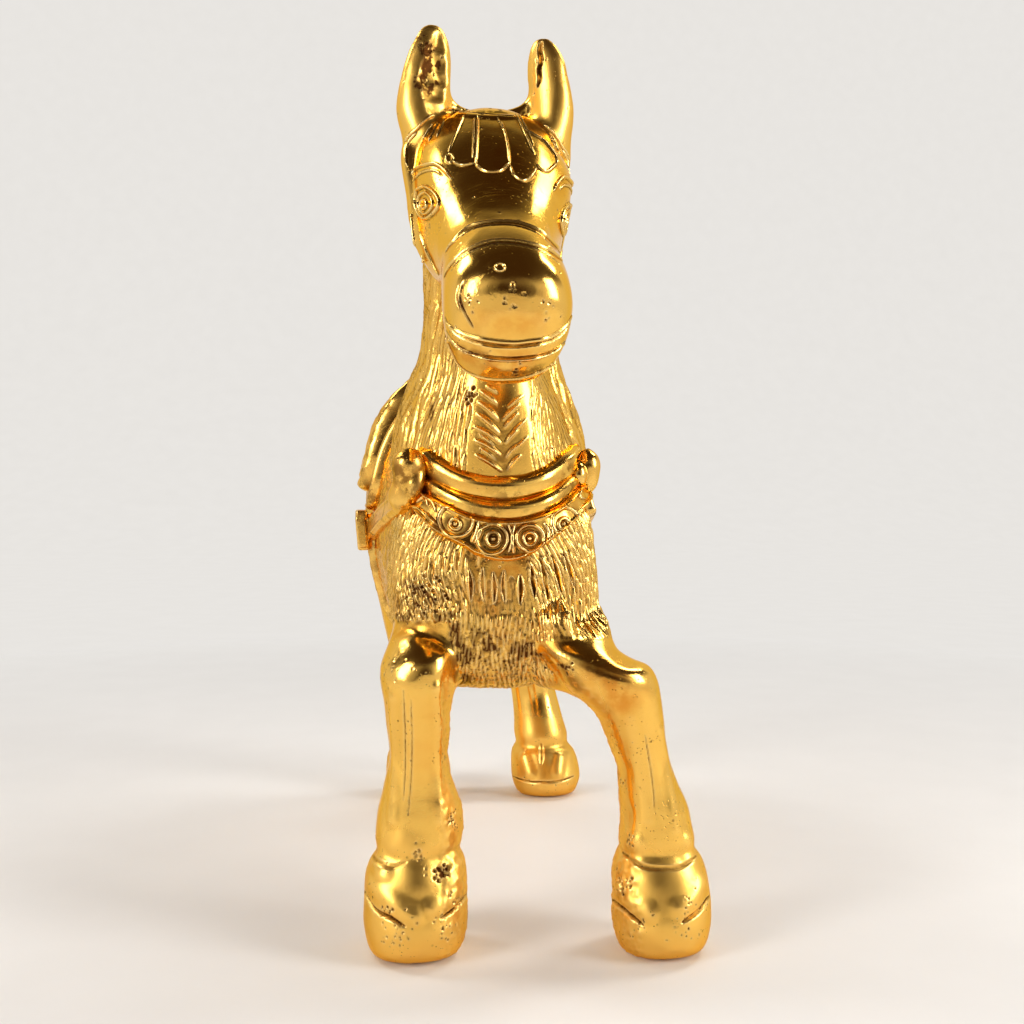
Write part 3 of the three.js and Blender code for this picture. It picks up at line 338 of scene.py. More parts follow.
# ---------------------------------------------------------------- skins as arrays
class Skin:
    """A closed polygon skin: points, the corners of its faces, where each face starts, its labels."""

    def __init__(self, points, corners, starts, label):
        self.points, self.corners, self.starts, self.label = points, corners, starts, label
        self.link()

    def link(self):
        """Works out each corner's face, and the corners before and after it round that face."""
        total = len(self.corners)
        self.ends = np.append(self.starts[1:], total)
        self.counts = self.ends - self.starts
        self.face = np.repeat(np.arange(len(self.starts)), self.counts)
        self.after = np.arange(1, total + 1)
        self.after[self.ends - 1] = self.starts
        self.before = np.arange(-1, total - 1)
        self.before[self.starts] = self.ends - 1
        self.head = self.corners[self.after]

    def sum_at(self, where, values):
        """The sum at each point of the values that belong to it."""
        values = np.asarray(values, float)
        if values.ndim == 1:
            return np.bincount(where, values, len(self.points))
        return np.stack([np.bincount(where, v, len(self.points)) for v in values.T], 1)

    def around(self, values):
        """The mean of a point's neighbours."""
        near = np.maximum(self.sum_at(self.corners, np.ones(len(self.corners))), 1)
        total = self.sum_at(self.corners, values[self.head])
        return total / (near if values.ndim == 1 else near[:, None])

    def relax(self, steps, weight=1.0):
        """Moves each point towards the mean of its neighbours."""
        weight = np.broadcast_to(weight, len(self.points))[:, None]
        for _ in range(steps):
            self.points = self.points + 0.5 * weight * (self.around(self.points) - self.points)

    def fair(self, steps):
        """Smooths without shrinking."""
        for _ in range(steps):
            self.points = self.points + 0.52 * (self.around(self.points) - self.points)
            self.points = self.points - 0.54 * (self.around(self.points) - self.points)

    def blur(self, values, steps):
        """Spreads the points' values over their neighbours."""
        for _ in range(steps):
            values = 0.5 * values + 0.5 * self.around(values)
        return values

    def normals(self):
        """The way out at each point."""
        cross = np.cross(self.points[self.corners], self.points[self.head])
        face = np.stack([np.bincount(self.face, c, len(self.starts)) for c in cross.T], 1)
        normal = self.sum_at(self.corners, face[self.face])
        return normal / np.maximum(np.linalg.norm(normal, axis=1), 1e-12)[:, None]

    def centres(self):
        total = np.stack([np.bincount(self.face, c, len(self.starts)) for c in self.points[self.corners].T], 1)
        return total / self.counts[:, None]

    def split(self, chosen):
        """Cuts the chosen faces in quarters, each neighbour taking the new points on its edges."""
        big = len(self.points)
        low, high = np.minimum(self.corners, self.head), np.maximum(self.corners, self.head)
        key = low.astype(np.int64) * big + high
        cut = chosen[self.face]
        edges = np.unique(key[cut])
        middle = 0.5 * (self.points[edges // big] + self.points[edges % big])
        number = np.cumsum(chosen) - 1
        heart = self.centres()[chosen]
        found = np.minimum(np.searchsorted(edges, key), len(edges) - 1)
        has = edges[found] == key
        at = big + found
        quads = np.stack(
            [self.corners[cut], at[cut], big + len(edges) + number[self.face[cut]], at[self.before[cut]]], 1
        )
        rest = ~cut
        size = np.where(has, 2, 1)[rest]
        corners = np.repeat(self.corners[rest], size)
        last = np.cumsum(size) - 1
        corners[last[has[rest]]] = at[rest][has[rest]]
        counts = np.bincount(self.face[rest], size, len(self.starts)).astype(int)[~chosen]
        self.points = np.vstack([self.points, middle, heart])
        self.corners = np.concatenate([corners, quads.ravel()])
        all_counts = np.concatenate([counts, np.full(len(quads), 4)])
        self.starts = np.cumsum(all_counts) - all_counts
        self.label = np.concatenate([self.label[~chosen], self.label[self.face[cut]]])
        self.link()

    def faces(self):
        return [self.corners[s:e].tolist() for s, e in zip(self.starts.tolist(), self.ends.tolist())]

    def tree(self):
        return BVHTree.FromPolygons(self.points.tolist(), self.faces())


def mesh_arrays(mesh):
    """A mesh's points, the corners of its faces, and where each face starts."""
    points = np.zeros(len(mesh.vertices) * 3)
    mesh.vertices.foreach_get("co", points)
    corners = np.zeros(len(mesh.loops), int)
    mesh.loops.foreach_get("vertex_index", corners)
    starts = np.zeros(len(mesh.polygons), int)
    mesh.polygons.foreach_get("loop_start", starts)
    return points.reshape(-1, 3), corners, starts


def remesh(points, faces, voxel):
    """One even skin round all the closed forms given."""
    mesh = bpy.data.meshes.new("forms")
    mesh.from_pydata(points.tolist(), [], faces)
    obj = bpy.data.objects.new("forms", mesh)
    bpy.context.scene.collection.objects.link(obj)
    modifier = obj.modifiers.new("even", "REMESH")
    modifier.mode = "VOXEL"
    modifier.voxel_size = voxel
    made = obj.evaluated_get(bpy.context.evaluated_depsgraph_get())
    arrays = mesh_arrays(made.to_mesh())
    made.to_mesh_clear()
    bpy.data.objects.remove(obj)
    bpy.data.meshes.remove(mesh)
    return Skin(*arrays, np.zeros(len(arrays[2]), int))


def join(forms):
    """Many skins as one, with the number of the skin that each face comes from."""
    points, faces, form, base = [], [], [], 0
    for number, (p, f) in enumerate(forms):
        points.append(p)
        faces += [[v + base for v in face] for face in f]
        form += [number] * len(f)
        base += len(p)
    return np.vstack(points), faces, np.array(form)


# ---------------------------------------------------------------- stamping relief on a skin
def pairs_near(stamps, points, reach):
    """Each stamp with each point within reach of it, in pieces."""
    cell = lambda p: np.floor(p / reach).astype(np.int64) + 4096
    code = lambda c: (c[:, 0] << 28) | (c[:, 1] << 14) | c[:, 2]
    keys = code(cell(points))
    order = np.argsort(keys, kind="stable")
    keys = keys[order]
    home = cell(stamps)
    for dx in (-1, 0, 1):
        for dy in (-1, 0, 1):
            for dz in (-1, 0, 1):
                wanted = code(home + [dx, dy, dz])
                first, last = np.searchsorted(keys, wanted, "left"), np.searchsorted(keys, wanted, "right")
                count = last - first
                if not count.any():
                    continue
                stamp = np.repeat(np.arange(len(stamps)), count)
                shift = np.arange(count.sum()) - np.repeat(np.cumsum(count) - count, count)
                yield stamp, order[np.repeat(first, count) + shift]


def stamp_field(skin_points, stamps, radius, height, profile):
    """The highest of the stamps at each point: height times profile of the distance in radii."""
    field = np.zeros(len(skin_points))
    if not len(stamps):
        return field
    reach = float(np.max(radius))
    for stamp, point in pairs_near(stamps, skin_points, reach):
        far = np.linalg.norm(skin_points[point] - stamps[stamp], axis=1) / radius[stamp]
        inside = far < 1
        np.maximum.at(field, point[inside], height[stamp[inside]] * profile(far[inside]))
    return field


def round_profile(far):
    return 1 - far * far


def soft_profile(far):
    return (1 - far * far) ** 2


def run_between(points, gap):
    """Even samples along a smooth curve through points."""
    fine = smooth_rows(points, max(8 * len(points), 16)) if len(points) > 2 else np.array(points, float)
    length = np.concatenate([[0], np.cumsum(np.linalg.norm(np.diff(fine, axis=0), axis=1))])
    at = np.linspace(0, length[-1], max(int(length[-1] / gap), 2) + 1)
    return np.stack([np.interp(at, length, c) for c in fine.T], 1)


# ---------------------------------------------------------------- the camera of the photograph
# its place in the frame's millimetres, and the picture's size, middle, focal length and horizon in pixels
EYE = np.array([-30.25, -224.87, 74.5])
EYE_TURN = -8
FORWARD, RIGHT = np.array([0.1392, 0.9903, 0]), np.array([0.9903, -0.1392, 0])
UP = np.array([0, 0, 1.0])
PICTURE, CENTRE, FOCAL, HORIZON = 1024, 512, 1200, 483


def pixel_way(px, py):
    """The way from the camera to a place in the picture."""
    way = FORWARD + RIGHT * (px - CENTRE) / FOCAL + UP * (HORIZON - py) / FOCAL
    return way / np.linalg.norm(way)


def pixels(text):
    """Groups of numbers with commas between them, most of them places in the picture."""
    return [tuple(float(v) for v in group.split(",")) for group in text.split()]


def strokes(text):
    """Drawn lines, one in each row of a text: radius, height or depth, and the places that it passes."""
    rows = [row.split(None, 2) for row in text.strip().splitlines() if not row.startswith("#")]
    return [(float(radius), float(height), pixels(drawn)) for radius, height, drawn in rows]


def to_pixels(points):
    """Where points of the body fall in the picture."""
    way = points + ORIGIN - EYE
    ahead = way @ FORWARD
    return CENTRE + FOCAL * (way @ RIGHT) / ahead, HORIZON - FOCAL * way[:, 2] / ahead


def seen(px, py):
    """Where the skin is met at a place in the picture, or None."""
    return skin_tree.ray_cast(Vector(EYE - ORIGIN), Vector(pixel_way(px, py)))[0]


def pixel_line(drawn, gap=0.1):
    """A line drawn over the picture, laid on the skin below it."""
    spots = [spot for spot in (seen(*place) for place in run_between(drawn, 1.0)) if spot]
    if len(spots) < 2:
        return np.zeros((0, 3))
    spots = np.array(spots)
    keep = np.concatenate([[True], np.linalg.norm(np.diff(spots, axis=0), axis=1) < 3])
    return run_between(spots[keep], gap)


# ---------------------------------------------------------------- the body
names = ["trunk", "neck", "head", *EARS, *LEGS, "tail", "mane"]
MANE, MANE_THICK, MANE_HEM, CREST = names.index("mane"), 1.0, 78.5, 3.0


def mane_rings(steps=80, sides=64):
    """The neck's rings raised over the sides and the crest, down to the hem above the collar."""
    rings = np.array(neck_rings(steps, sides))
    out = unit(rings - rings.mean(1, keepdims=True))
    angle = 2 * math.pi * np.arange(sides) / sides
    back = np.sin(angle)
    up = np.linspace(0, 1, steps + 1)[:, None]
    behind = smoothstep(back, -0.55, -0.2)
    fade = smoothstep(rings[:, :, 2], MANE_HEM - 4, MANE_HEM - 1) * (1 - smoothstep(up, 0.95, 1.0))
    ridge = np.clip(1 - (np.cos(angle) / 0.2) ** 2, 0, 1) * (back > 0)
    swell = np.sin(math.pi * np.minimum(0.12 + up * 0.8, 1))
    rise = (MANE_THICK + SEAM) * behind * fade + ridge * fade * (0.3 + CREST * swell)
    return rings + out * (rise - 0.4 * (1 - behind * fade))[:, :, None]


forms = [loft(trunk_rings()), loft(neck_rings()), loft(head_rings())]
forms += [loft(ear_rings(*EARS[n])) for n in EARS]
forms += [loft(leg_rings(*LEGS[n])) for n in LEGS]
forms += [loft(tail_rings()), loft(mane_rings())]


def limb(spots, radii, steps=40, sides=20):
    """A round limb along a curve, thick and thin as given."""
    path = smooth_rows(spots, steps)
    size = smooth_rows([[r] for r in radii], steps)[:, 0]
    way = unit(np.gradient(path, axis=0))
    side = unit(np.cross(way, [0, 0.3, 1]))
    up = np.cross(side, way)
    angle = 2 * math.pi * np.arange(sides) / sides
    across, high = np.cos(angle), np.sin(angle)
    return loft([c + np.outer(across * r, a) + np.outer(high * r, b) for c, r, a, b in zip(path, size, side, up)])


def seen_limb(depths, drawn, radii):
    """A limb whose middle line is drawn in the picture, at given depths in the frame."""
    spots = []
    for place, depth in zip(pixels(drawn), depths):
        way = pixel_way(*place)
        spots.append(EYE + way * (depth - EYE[1]) / way[1] - ORIGIN)
    return limb(spots, radii)


# the crown that dips between the ears, and the muscle below each ear, which belong to the head
CROWN_DEPTH, CROWN_RADII = -33.5, [1.0, 1.35, 1.4, 1.3, 1.1]
for drawn in ("441,92 448.5,106 457,114 468,117.5 484,119", "539,92 531.5,105 523,113.5 511,117.5 495,119"):
    forms.append(seen_limb([CROWN_DEPTH] * 5, drawn, CROWN_RADII))
for side, out, scale in ((-1, 12.4, 1.0), (1, 11.5, 0.62)):
    root = HEAD_X + side * out
    muscle = [(0.2, 0.6, 131), (0.3, -0.6, 127), (0, -3.2, 121), (-0.6, -6.5, 114), (-1.4, -9, 108)]
    spots = [[root + side * aside, y, z] for aside, y, z in muscle]
    forms.append(limb(spots, [0.4, 2.0 * scale, 2.3 * scale, 1.8 * scale, 0.3]))
# the shoulder that runs down into the left foreleg, the skin between the forelegs, and the chest's
# bulge above the left foreleg, which belong to the trunk
head_forms = len(forms)
for depths, drawn, radii in (
    ([-28, -30.5, -34, -37, -39], "552,556 564,600 572,632 592,660 622,686", [4.5, 5, 5, 4.6, 3.6]),
    ([-34, -35, -36.5, -38], "530,655 548,660 574,671 598,690", [3.6, 4.3, 3.8, 2.8]),
    ([-36, -36.5, -37, -37], "538,646 549,636 559,630 568,627", [4.2, 5.2, 5.9, 6.1]),
):
    forms.append(seen_limb(depths, drawn, radii))
form_points, form_faces, form_of_face = join(forms)
form_of_face[form_of_face >= head_forms] = names.index("trunk")
form_of_face[form_of_face > MANE] = names.index("head")
VOXEL = 0.38
body = remesh(form_points, form_faces, VOXEL)
body.fair(4)

# where the outline falls in the picture, and by how much it has to move there, in pixels
OUTLINE = np.array(pixels("""
466,675,-8,0 463,705,-9,0 459,744,-3.5,0 453,770,-2,0 455,793,3,0 457,816,4.5,0 459,847,2,0 383,675,-3,0
383,705,2.5,0 385.5,744,2.5,0 385.5,782,1,0 377,812,4,0 374,839,2,0 466,880,0,0 364,880,0,0 611.6,778,4.5,0
611.6,816,7.5,0 615.5,850,2,0 630,646,-3,7 653,677,-1,-2 665,702,-4,0 669,725,-4,0 671,759,-2,0
680.5,786,-2,0 692,812,-4,0 697,850,0,0 612,880,0,0 710,880,0,0 600,725,0,0 575,84,-3,0 577,114,-4,0
577,142,-6,0 576,171,-1,0 577,200,-4,0 576,222,-7,0 574,243,-6,0 574,275,-1,0 398,143,3,0 401,171,5.5,0
405,200,8,0 408,220,3,0 438,28,-4,0 450,60,-1,0 500,200,0,0 540,200,-2,0
"""))


def shifted(points, spread=15):
    """The points of the front moved so that the outline falls where the photograph has it."""
    px, py = to_pixels(points)
    near = np.exp(-((px[:, None] - OUTLINE[:, 0]) ** 2 + (py[:, None] - OUTLINE[:, 1]) ** 2) / (2 * spread**2))
    move = near @ OUTLINE[:, 2:] / np.maximum(near.sum(1), 0.8)[:, None]
    ahead = (points + ORIGIN - EYE) @ FORWARD
    move *= (ahead / FOCAL * (1 - smoothstep(points[:, 1], 14, 22)))[:, None]
    return points + move[:, :1] * RIGHT - move[:, 1:] * UP


def label_faces(skin):
    """Each face belongs to the form whose skin is nearest, by the vote of its neighbours."""
    tree = BVHTree.FromPolygons(form_points.tolist(), form_faces)
    near = [tree.find_nearest(c)[2] for c in skin.centres().tolist()]
    label = form_of_face[near]
    big = len(skin.points)
    key = skin.corners.astype(np.int64) * big + skin.head
    back = skin.head.astype(np.int64) * big + skin.corners
    order = np.argsort(key)
    other = skin.face[order[np.searchsorted(key[order], back)]]
    for _ in range(5):
        votes = np.zeros((len(skin.starts), len(names)))
        np.add.at(votes, (skin.face, label[other]), 1)
        votes[np.arange(len(label)), label] += 0.5
        label = votes.argmax(1)
    return label


body.label = label_faces(body)
body.points = shifted(body.points)


def crease_weight(skin, rings, apart=lambda low, high: low != high):
    """One on the line where two forms meet, falling to nothing over some rings of points."""
    low = np.full(len(skin.points), 99)
    high = np.full(len(skin.points), -1)
    np.minimum.at(low, skin.corners, skin.label[skin.face])
    np.maximum.at(high, skin.corners, skin.label[skin.face])
    weight = apart(low, high).astype(float)
    for _ in range(rings):
        spread = weight.copy()
        np.maximum.at(spread, skin.corners, weight[skin.head] - 1 / rings)
        weight = spread
    return smoothstep(weight, 0, 1)


body.relax(34, crease_weight(body, 11, lambda low, high: (low != high) & (high != MANE)))
body.relax(5, crease_weight(body, 5))
body.relax(2)
skin_tree = body.tree()


# ---------------------------------------------------------------- what is drawn on the body
def ring_of(px, py, wide, tall, count=26):
    """An oval drawn in the picture, by its middle and its half sizes."""
    angle = np.linspace(0, 2 * math.pi, count)
    return list(zip(px + wide * np.cos(angle), py + tall * np.sin(angle)))


FINE = strokes("""
# the petals of the forelock
0.24 0.3  464,116 456,134 449,151
0.22 0.3  453.5,162 462,165.5 474.5,163.5
0.24 0.34  478,116 477.2,140 476,164
0.17 0.2  474.4,118 473.6,140 472.8,159
0.25 0.34  476,164 480,169 487,172.3 494.4,172.8 502,170.5 509.4,163
0.22 0.3  501,122 505.2,135 508,150 509.4,163
0.17 0.2  497,118 500.5,124 503,131
0.25 0.34  509.4,165 513,174 519,179.5 524,181 530,178 536.7,168
0.22 0.28  516,114.5 523,130 529,143 534,154
0.17 0.2  519.5,115 527,130 533,145
0.25 0.34  536.7,164 541,169.5 547.5,171.5 555.8,164
0.24 0.32  521,128 532,134 542.5,140 550,148 555.8,157.5 556,164
# the noseband
0.34 0.34  446,252 451.3,243.8 466.2,228.9 480,223.5 496,221.4 517.6,222.2 539.2,230.5 554,243.8 \
    562.4,253.7 567,262
0.34 0.34  444,277 447,270 453,262.5 466,251 484,242.6 503,239.8 528,243 549,250.5 562,261 568,268 571,276
# the lips
0.36 0.3  445,318 449,326 462.9,334 482.8,339.5 509.4,342.5 529.3,341 549,337 565.7,325.5 573.2,311
0.3 0.22  446,331 452,341 462.9,350 486,358.5 512.7,360 539,357.5 559,348.5 569,338
0.3 0.25  446,338 452,352 459.6,365 472,374 488,378.5 506,379 524,377 541,371 556,362 566,349
""")
FINE.append((0.2, 0.26, ring_of(449.6, 158.5, 3.4, 4.4)))
GROOVES = strokes("""
# the mouth, the nostril, the noseband's edges, the crown and the left ear's slit
0.3 0.42  446,323 455,333.5 468,340 486,345 509.4,347 530,345.5 549,341.5 563,333 572,319
0.26 0.34  447,337 458,348 470,353.5 488,357 512,358.3 538,355.8 556,349 570,336
0.22 0.3  463.5,281 461,289.7 459.8,299.7 464.6,313 472.9,327.8
0.2 0.22  459,285 456.5,297 459,308
0.22 0.2  449,247 466.2,232.5 480,227 496,224.8 517.6,225.8 539.2,234 554,247.5
0.22 0.2  452,267 466,255 484,246.4 503,243.6 528,246.8 547,254 559,264
0.3 0.3  441,111 455,109 470,112.5 484,113.5 498,116 513,117.5
0.52 0.62  541,42 539.5,50 541,60 539,70 539.5,78 537.5,86
""")
# on one side of the face, and turned over onto the other
SIDE_FINE = strokes("""
# the eye and its brow
0.28 0.46  417,190 424,186.6 431,189.5 437.2,196 440,204 434,213.5 426,218.5 419.5,214 416.2,203 417,190
0.24 0.4  419.6,196 425,192.4 431,196.5 433.6,204 430,211.4 424.6,214 420.4,209 418.6,202 419.6,196
0.3 0.42  411.5,174 418,167.5 427,164.6 434.7,164 441,167.5 446.3,172.5 451.3,179
0.2 0.22  413.5,180 420,173.5 428,170.5 436,171 442,175.5
# the ear's root, and the cheek strap
0.3 0.32  434.7,114 425,120.5 418,127.7 411,134 405,141
0.26 0.28  416.5,132.7 410,140 406.5,149 406,158 407,166
0.2 0.24  438,123 434,131 429,141
0.2 0.24  432,124 427.5,132 423,139
0.2 0.22  444,121 441,128 437,136
0.28 0.32  411.5,214 412.5,228 414,240 415.7,249 419,263 421.5,280 423.5,300 424,316
0.28 0.34  419.8,232 425,246 431.4,260 438.9,274.8
0.22 0.26  421.5,255 425,268 429.8,284.7
""")
SIDE_FINE.append((0.24, 0.42, ring_of(424.4, 204.3, 3.2, 4.2)))


FACE_LOWER = 2.2


def head_mirror(spots):
    """Spots turned over onto the other side of the face, which sits a little lower."""
    own = head_own(spots)
    own[:, 0] = -own[:, 0]
    own[:, 2] -= FACE_LOWER
    return np.array([skin_tree.find_nearest(p)[0] for p in head_place(own).tolist()])


class Stamps:
    """Round marks on the skin, each with its place, radius and height."""

    def __init__(self):
        self.at, self.radius, self.height = [], [], []

    def line(self, spots, radius, height, taper=0.12):
        if not len(spots):
            return
        share = np.linspace(0, 1, len(spots))
        fade = np.minimum(1, np.minimum(share, 1 - share) / taper) if taper else np.ones(len(spots))
        fade = 0.35 + 0.65 * np.sqrt(np.clip(fade, 0, 1))
        self.at.append(np.asarray(spots))
        self.radius.append(radius * fade)
        self.height.append(height * fade)

    def spot(self, at, radius, height):
        self.at.append(np.asarray([at]))
        self.radius.append(np.array([radius]))
        self.height.append(np.array([height]))

    def field(self, points, profile=round_profile):
        if not self.at:
            return np.zeros(len(points))
        radius, height = np.concatenate(self.radius), np.concatenate(self.height)
        return stamp_field(points, np.vstack(self.at), radius, height, profile)


fine, grooves = Stamps(), Stamps()
for lines, both_sides in ((FINE, False), (SIDE_FINE, True)):
    for radius, height, drawn in lines:
        spots = pixel_line(drawn, 0.07)
        taper = 0 if math.dist(drawn[0], drawn[-1]) < 1 else 0.1
        fine.line(spots, radius, height, taper)
        if both_sides and len(spots):
            fine.line(head_mirror(spots), radius, height, taper)
for radius, depth, drawn in GROOVES:
    grooves.line(pixel_line(drawn, 0.07), radius, depth)
NOSE_RING = ring_of(500, 267.5, 4.6, 3.6)
fine.line(pixel_line(NOSE_RING, 0.05), 0.2, 0.24, 0)


# ---------------------------------------------------------------- hair
# where in the picture, and how far right and down the hair runs there
DRAWN_FLOW = np.array(pixels("""
392,525,-0.55,1 402,530,-0.6,1 415,528,-0.7,1 430,536,-0.75,1 446,548,-0.6,1 395,552,-0.15,1 410,556,-0.35,1
428,560,-0.4,1 448,565,-0.2,1 460,560,0,1 396,580,0.2,1 412,588,0.7,0.8 430,590,0.9,0.3 446,588,0.3,1
400,606,0.3,1 430,608,0.15,1 452,606,-0.1,1 470,590,-0.05,1 470,640,-0.1,1 500,590,0,1 500,640,0,1
530,640,0.05,1 534,555,0.7,1 548,545,0.8,1 562,530,0.75,1 576,524,0.7,1 545,575,0.3,1 562,565,0.5,1
580,555,0.5,1 592,560,0.3,1 575,590,0.25,1 590,600,0.1,1 560,612,0.1,1 585,630,0.2,1 600,640,0.35,1
"""))


def flow(points):
    """Which way the hair lies at each point, before it is laid along the skin."""
    x, y, z = points.T
    wave = 0.35 * np.sin(0.55 * x + 0.31 * z) + 0.25 * np.sin(0.43 * y - 0.37 * z + 1.3)
    chest = 1 - smoothstep(y, 2, 16)
    haunch = smoothstep(y, 56, 78)
    px, py = to_pixels(points)
    near = 1 / ((px[:, None] - DRAWN_FLOW[:, 0]) ** 2 + (py[:, None] - DRAWN_FLOW[:, 1]) ** 2 + 90) ** 1.5
    right, down = (near @ DRAWN_FLOW[:, 2:]).T / near.sum(1)
    right = right + 0.3 * wave
    front = right[:, None] * RIGHT - down[:, None] * UP
    side = np.stack([0 * x, 1 + 0 * x, -0.5 + wave], 1)
    rear = np.stack([0 * x, 0.5 + 0.3 * wave, -1 + 0 * x], 1)
    lay = front * chest[:, None] + (side * (1 - haunch)[:, None] + rear * haunch[:, None]) * (1 - chest)[:, None]
    high = smoothstep(z, 76, 84) * (1 - smoothstep(y, 30, 40))
    sway = 0.5 * np.sin(0.9 * z * 0.35 + 0.6 * x) + 0.35 * np.sin(0.5 * z + 0.8 * y)
    neck = np.stack([0.45 * sway, 0.35 + 0.6 * sway, -1 + 0 * x], 1)
    return lay * (1 - high)[:, None] + neck * high[:, None]


def scatter(points, allowed, gap_across, gap_along, lay):
    """Points kept apart from each other, more so along the hair than across it."""
    order = random.permutation(np.nonzero(allowed)[0])
    spots, ways = points[order], lay[order]
    homes = np.floor(spots / gap_along).astype(int).tolist()
    cells, kept = {}, []

    def crowded(spot, way, home):
        for shift in np.ndindex(3, 3, 3):
            for q in cells.get((home[0] + shift[0] - 1, home[1] + shift[1] - 1, home[2] + shift[2] - 1), ()):
                gx, gy, gz = spot[0] - q[0], spot[1] - q[1], spot[2] - q[2]
                along = gx * way[0] + gy * way[1] + gz * way[2]
                across = gx * gx + gy * gy + gz * gz - along * along
                if along * along / (gap_along * gap_along) + across / (gap_across * gap_across) < 1:
                    return True
        return False

    for i, (spot, way, home) in enumerate(zip(spots.tolist(), ways.tolist(), homes)):
        if not crowded(spot, way, home):
            cells.setdefault(tuple(home), []).append(spot)
            kept.append(order[i])
    return np.array(kept, int)


def tangent(ways, normals):
    """Ways laid along the skin."""
    ways = ways - normals * np.einsum("ij,ij->i", ways, normals)[:, None]
    return ways / np.maximum(np.linalg.norm(ways, axis=1), 1e-9)[:, None]


def comb(stamps, allowed, gap_across, gap_along, length, radius, height, lay=flow, bend=0.25):
    """Hair strokes that start at even places and follow the way the hair lies."""
    normals = body.shown_normals
    roots = scatter(body.points, allowed, gap_across, gap_along, tangent(lay(body.points), normals))
    steps, count = 7, len(roots)
    long = length * random.uniform(0.75, 1.25, count)
    turn = bend * random.uniform(-1, 1, count)
    at = body.points[roots]
    norm = normals[roots]
    path = [at]
    for step in range(steps):
        way = tangent(lay(at), norm)
        side = np.cross(norm, way)
        way = way + side * (turn * (step / steps - 0.3))[:, None]
        moved = at + way * (long / steps)[:, None]
        found = [skin_tree.find_nearest(p) for p in moved.tolist()]
        at = np.array([f[0] for f in found])
        norm = np.array([f[1] for f in found])
        path.append(at)
    path = np.array(path).transpose(1, 0, 2)
    fine_steps = max(int(length / (radius * 0.42)), 8)
    t = np.linspace(0, steps, fine_steps)
    k = np.minimum(t.astype(int), steps - 1)
    w = (t - k)[None, :, None]
    dense = path[:, k] * (1 - w) + path[:, k + 1] * w
    share = t / steps
    shape = np.sin(math.pi * share**0.62) ** 0.7
    size = random.uniform(0.8, 1.2, count)[:, None]
    stamps.at.append(dense.reshape(-1, 3))
    stamps.radius.append((radius * (0.3 + 0.7 * shape)[None] * size).ravel())
    stamps.height.append((height * (0.12 + 0.88 * shape)[None] * size).ravel())


def take_stock():
    """Each point's label, its place, and its place in the picture."""
    label = np.zeros(len(body.points), int)
    label[body.corners] = body.label[body.face]
    return label, *body.points.T, *to_pixels(body.points)


def on(*parts):
    """Which points of the body belong to some parts."""
    return np.isin(vertex_label, [names.index(part) for part in parts])


def within(left, top, right, bottom):
    """Which points of the body fall inside a rectangle of the picture."""
    return (px > left) & (px < right) & (py > top) & (py < bottom)


vertex_label, x, y, z, px, py = take_stock()
body.shown_normals = body.normals()
THIGH_Z, CHEST_Y, FORELEG_Y = 50, 11, 20
front_chest = on("trunk") & (y < CHEST_Y) & (z < 70)
matted = front_chest & within(392, 568, 458, 614)
fringe = front_chest & within(396, 606, 456, 622)
bare = front_chest & within(468, 540, 526, 576)
lens_zone = front_chest & within(466, 576, 530, 612)
low_chest = front_chest & within(449, 610, 562, 700)
smooth_band = front_chest & within(380, 620, 449, 700)
chest_area = front_chest & ~(bare | lens_zone | low_chest | matted | smooth_band)
chest_area |= on("foreleg_left") & (py < 640) & (y < FORELEG_Y)
flanks = (on("trunk") & (y >= CHEST_Y)) | (on("hindleg_right", "hindleg_left") & (z > THIGH_Z))
throat = on("neck") & (z > 70)

# the gaps across and along the hair, then the strokes' length, radius and height, in millimetres
hair = Stamps()
comb(hair, chest_area, 0.66, 2.1, 4.6, 0.43, 0.52, bend=0.45)
comb(hair, matted, 0.72, 1.1, 2.0, 0.4, 0.44, bend=1.6)
comb(hair, fringe, 0.6, 1.0, 1.7, 0.36, 0.5, bend=0.4)
comb(hair, lens_zone, 1.0, 2.0, 2.6, 0.3, 0.16)
comb(hair, low_chest, 0.7, 1.7, 3.0, 0.34, 0.36, bend=0.5)
comb(hair, flanks, 1.0, 2.6, 4.6, 0.72, 0.36)
comb(hair, throat & (px < 470), 1.0, 3.0, 7.0, 0.5, 0.4, bend=0.8)
comb(hair, throat & (px > 532), 0.6, 1.8, 4.0, 0.34, 0.26, bend=0.3)
comb(hair, on("mane"), 1.1, 3.6, 9.5, 0.75, 0.62, bend=0.8)


def tail_flow(points):
    """Round the tail's arch, whose middle lies a little before and below its root, then straight down."""
    y, z = points[:, 1], points[:, 2]
    arch = np.stack([0 * y, z - TAIL_Z + 12, -(y - TAIL_Y + 2)], 1)
    low = smoothstep(TAIL_Z - z, 2, 14)[:, None]
    return unit(arch) * (1 - low) + np.array([0, 0.05, -1]) * low


comb(hair, on("tail"), 0.8, 3.0, 9.0, 0.6, 0.45, lay=tail_flow, bend=0.5)

# ---- herringbone on the throat, and the long grooves low on the chest
THROAT = strokes("""
0.34 0.42  480,391 489,397 497,404
0.36 0.44  478,402 488,409 498,419.5
0.36 0.46  477,414 488,422 499.4,433.5
0.36 0.44  474.5,427 487,433 500.6,443
0.36 0.46  474.5,440 488,446 500.6,455.5
0.36 0.46  475.5,455 489,462 502,471.5
0.26 0.3  486,386 492,389 497,393
0.24 0.26  479,434 487,439.5 494,446
0.24 0.26  480,448 488,453 496,460
0.26 0.3  519.5,404 511,411 503,420
0.26 0.3  518,413 511,420 504.4,428
0.26 0.3  518,430 512,435 505.7,443
0.26 0.3  518,445 512,450 505.7,458
0.26 0.3  521,455 514,461 507,470.5
0.24 0.26  524,395 516,400 508,407
0.22 0.24  527,419 520,425 512,433
0.22 0.24  528,437 520,444 513,451
""")
bold = Stamps()
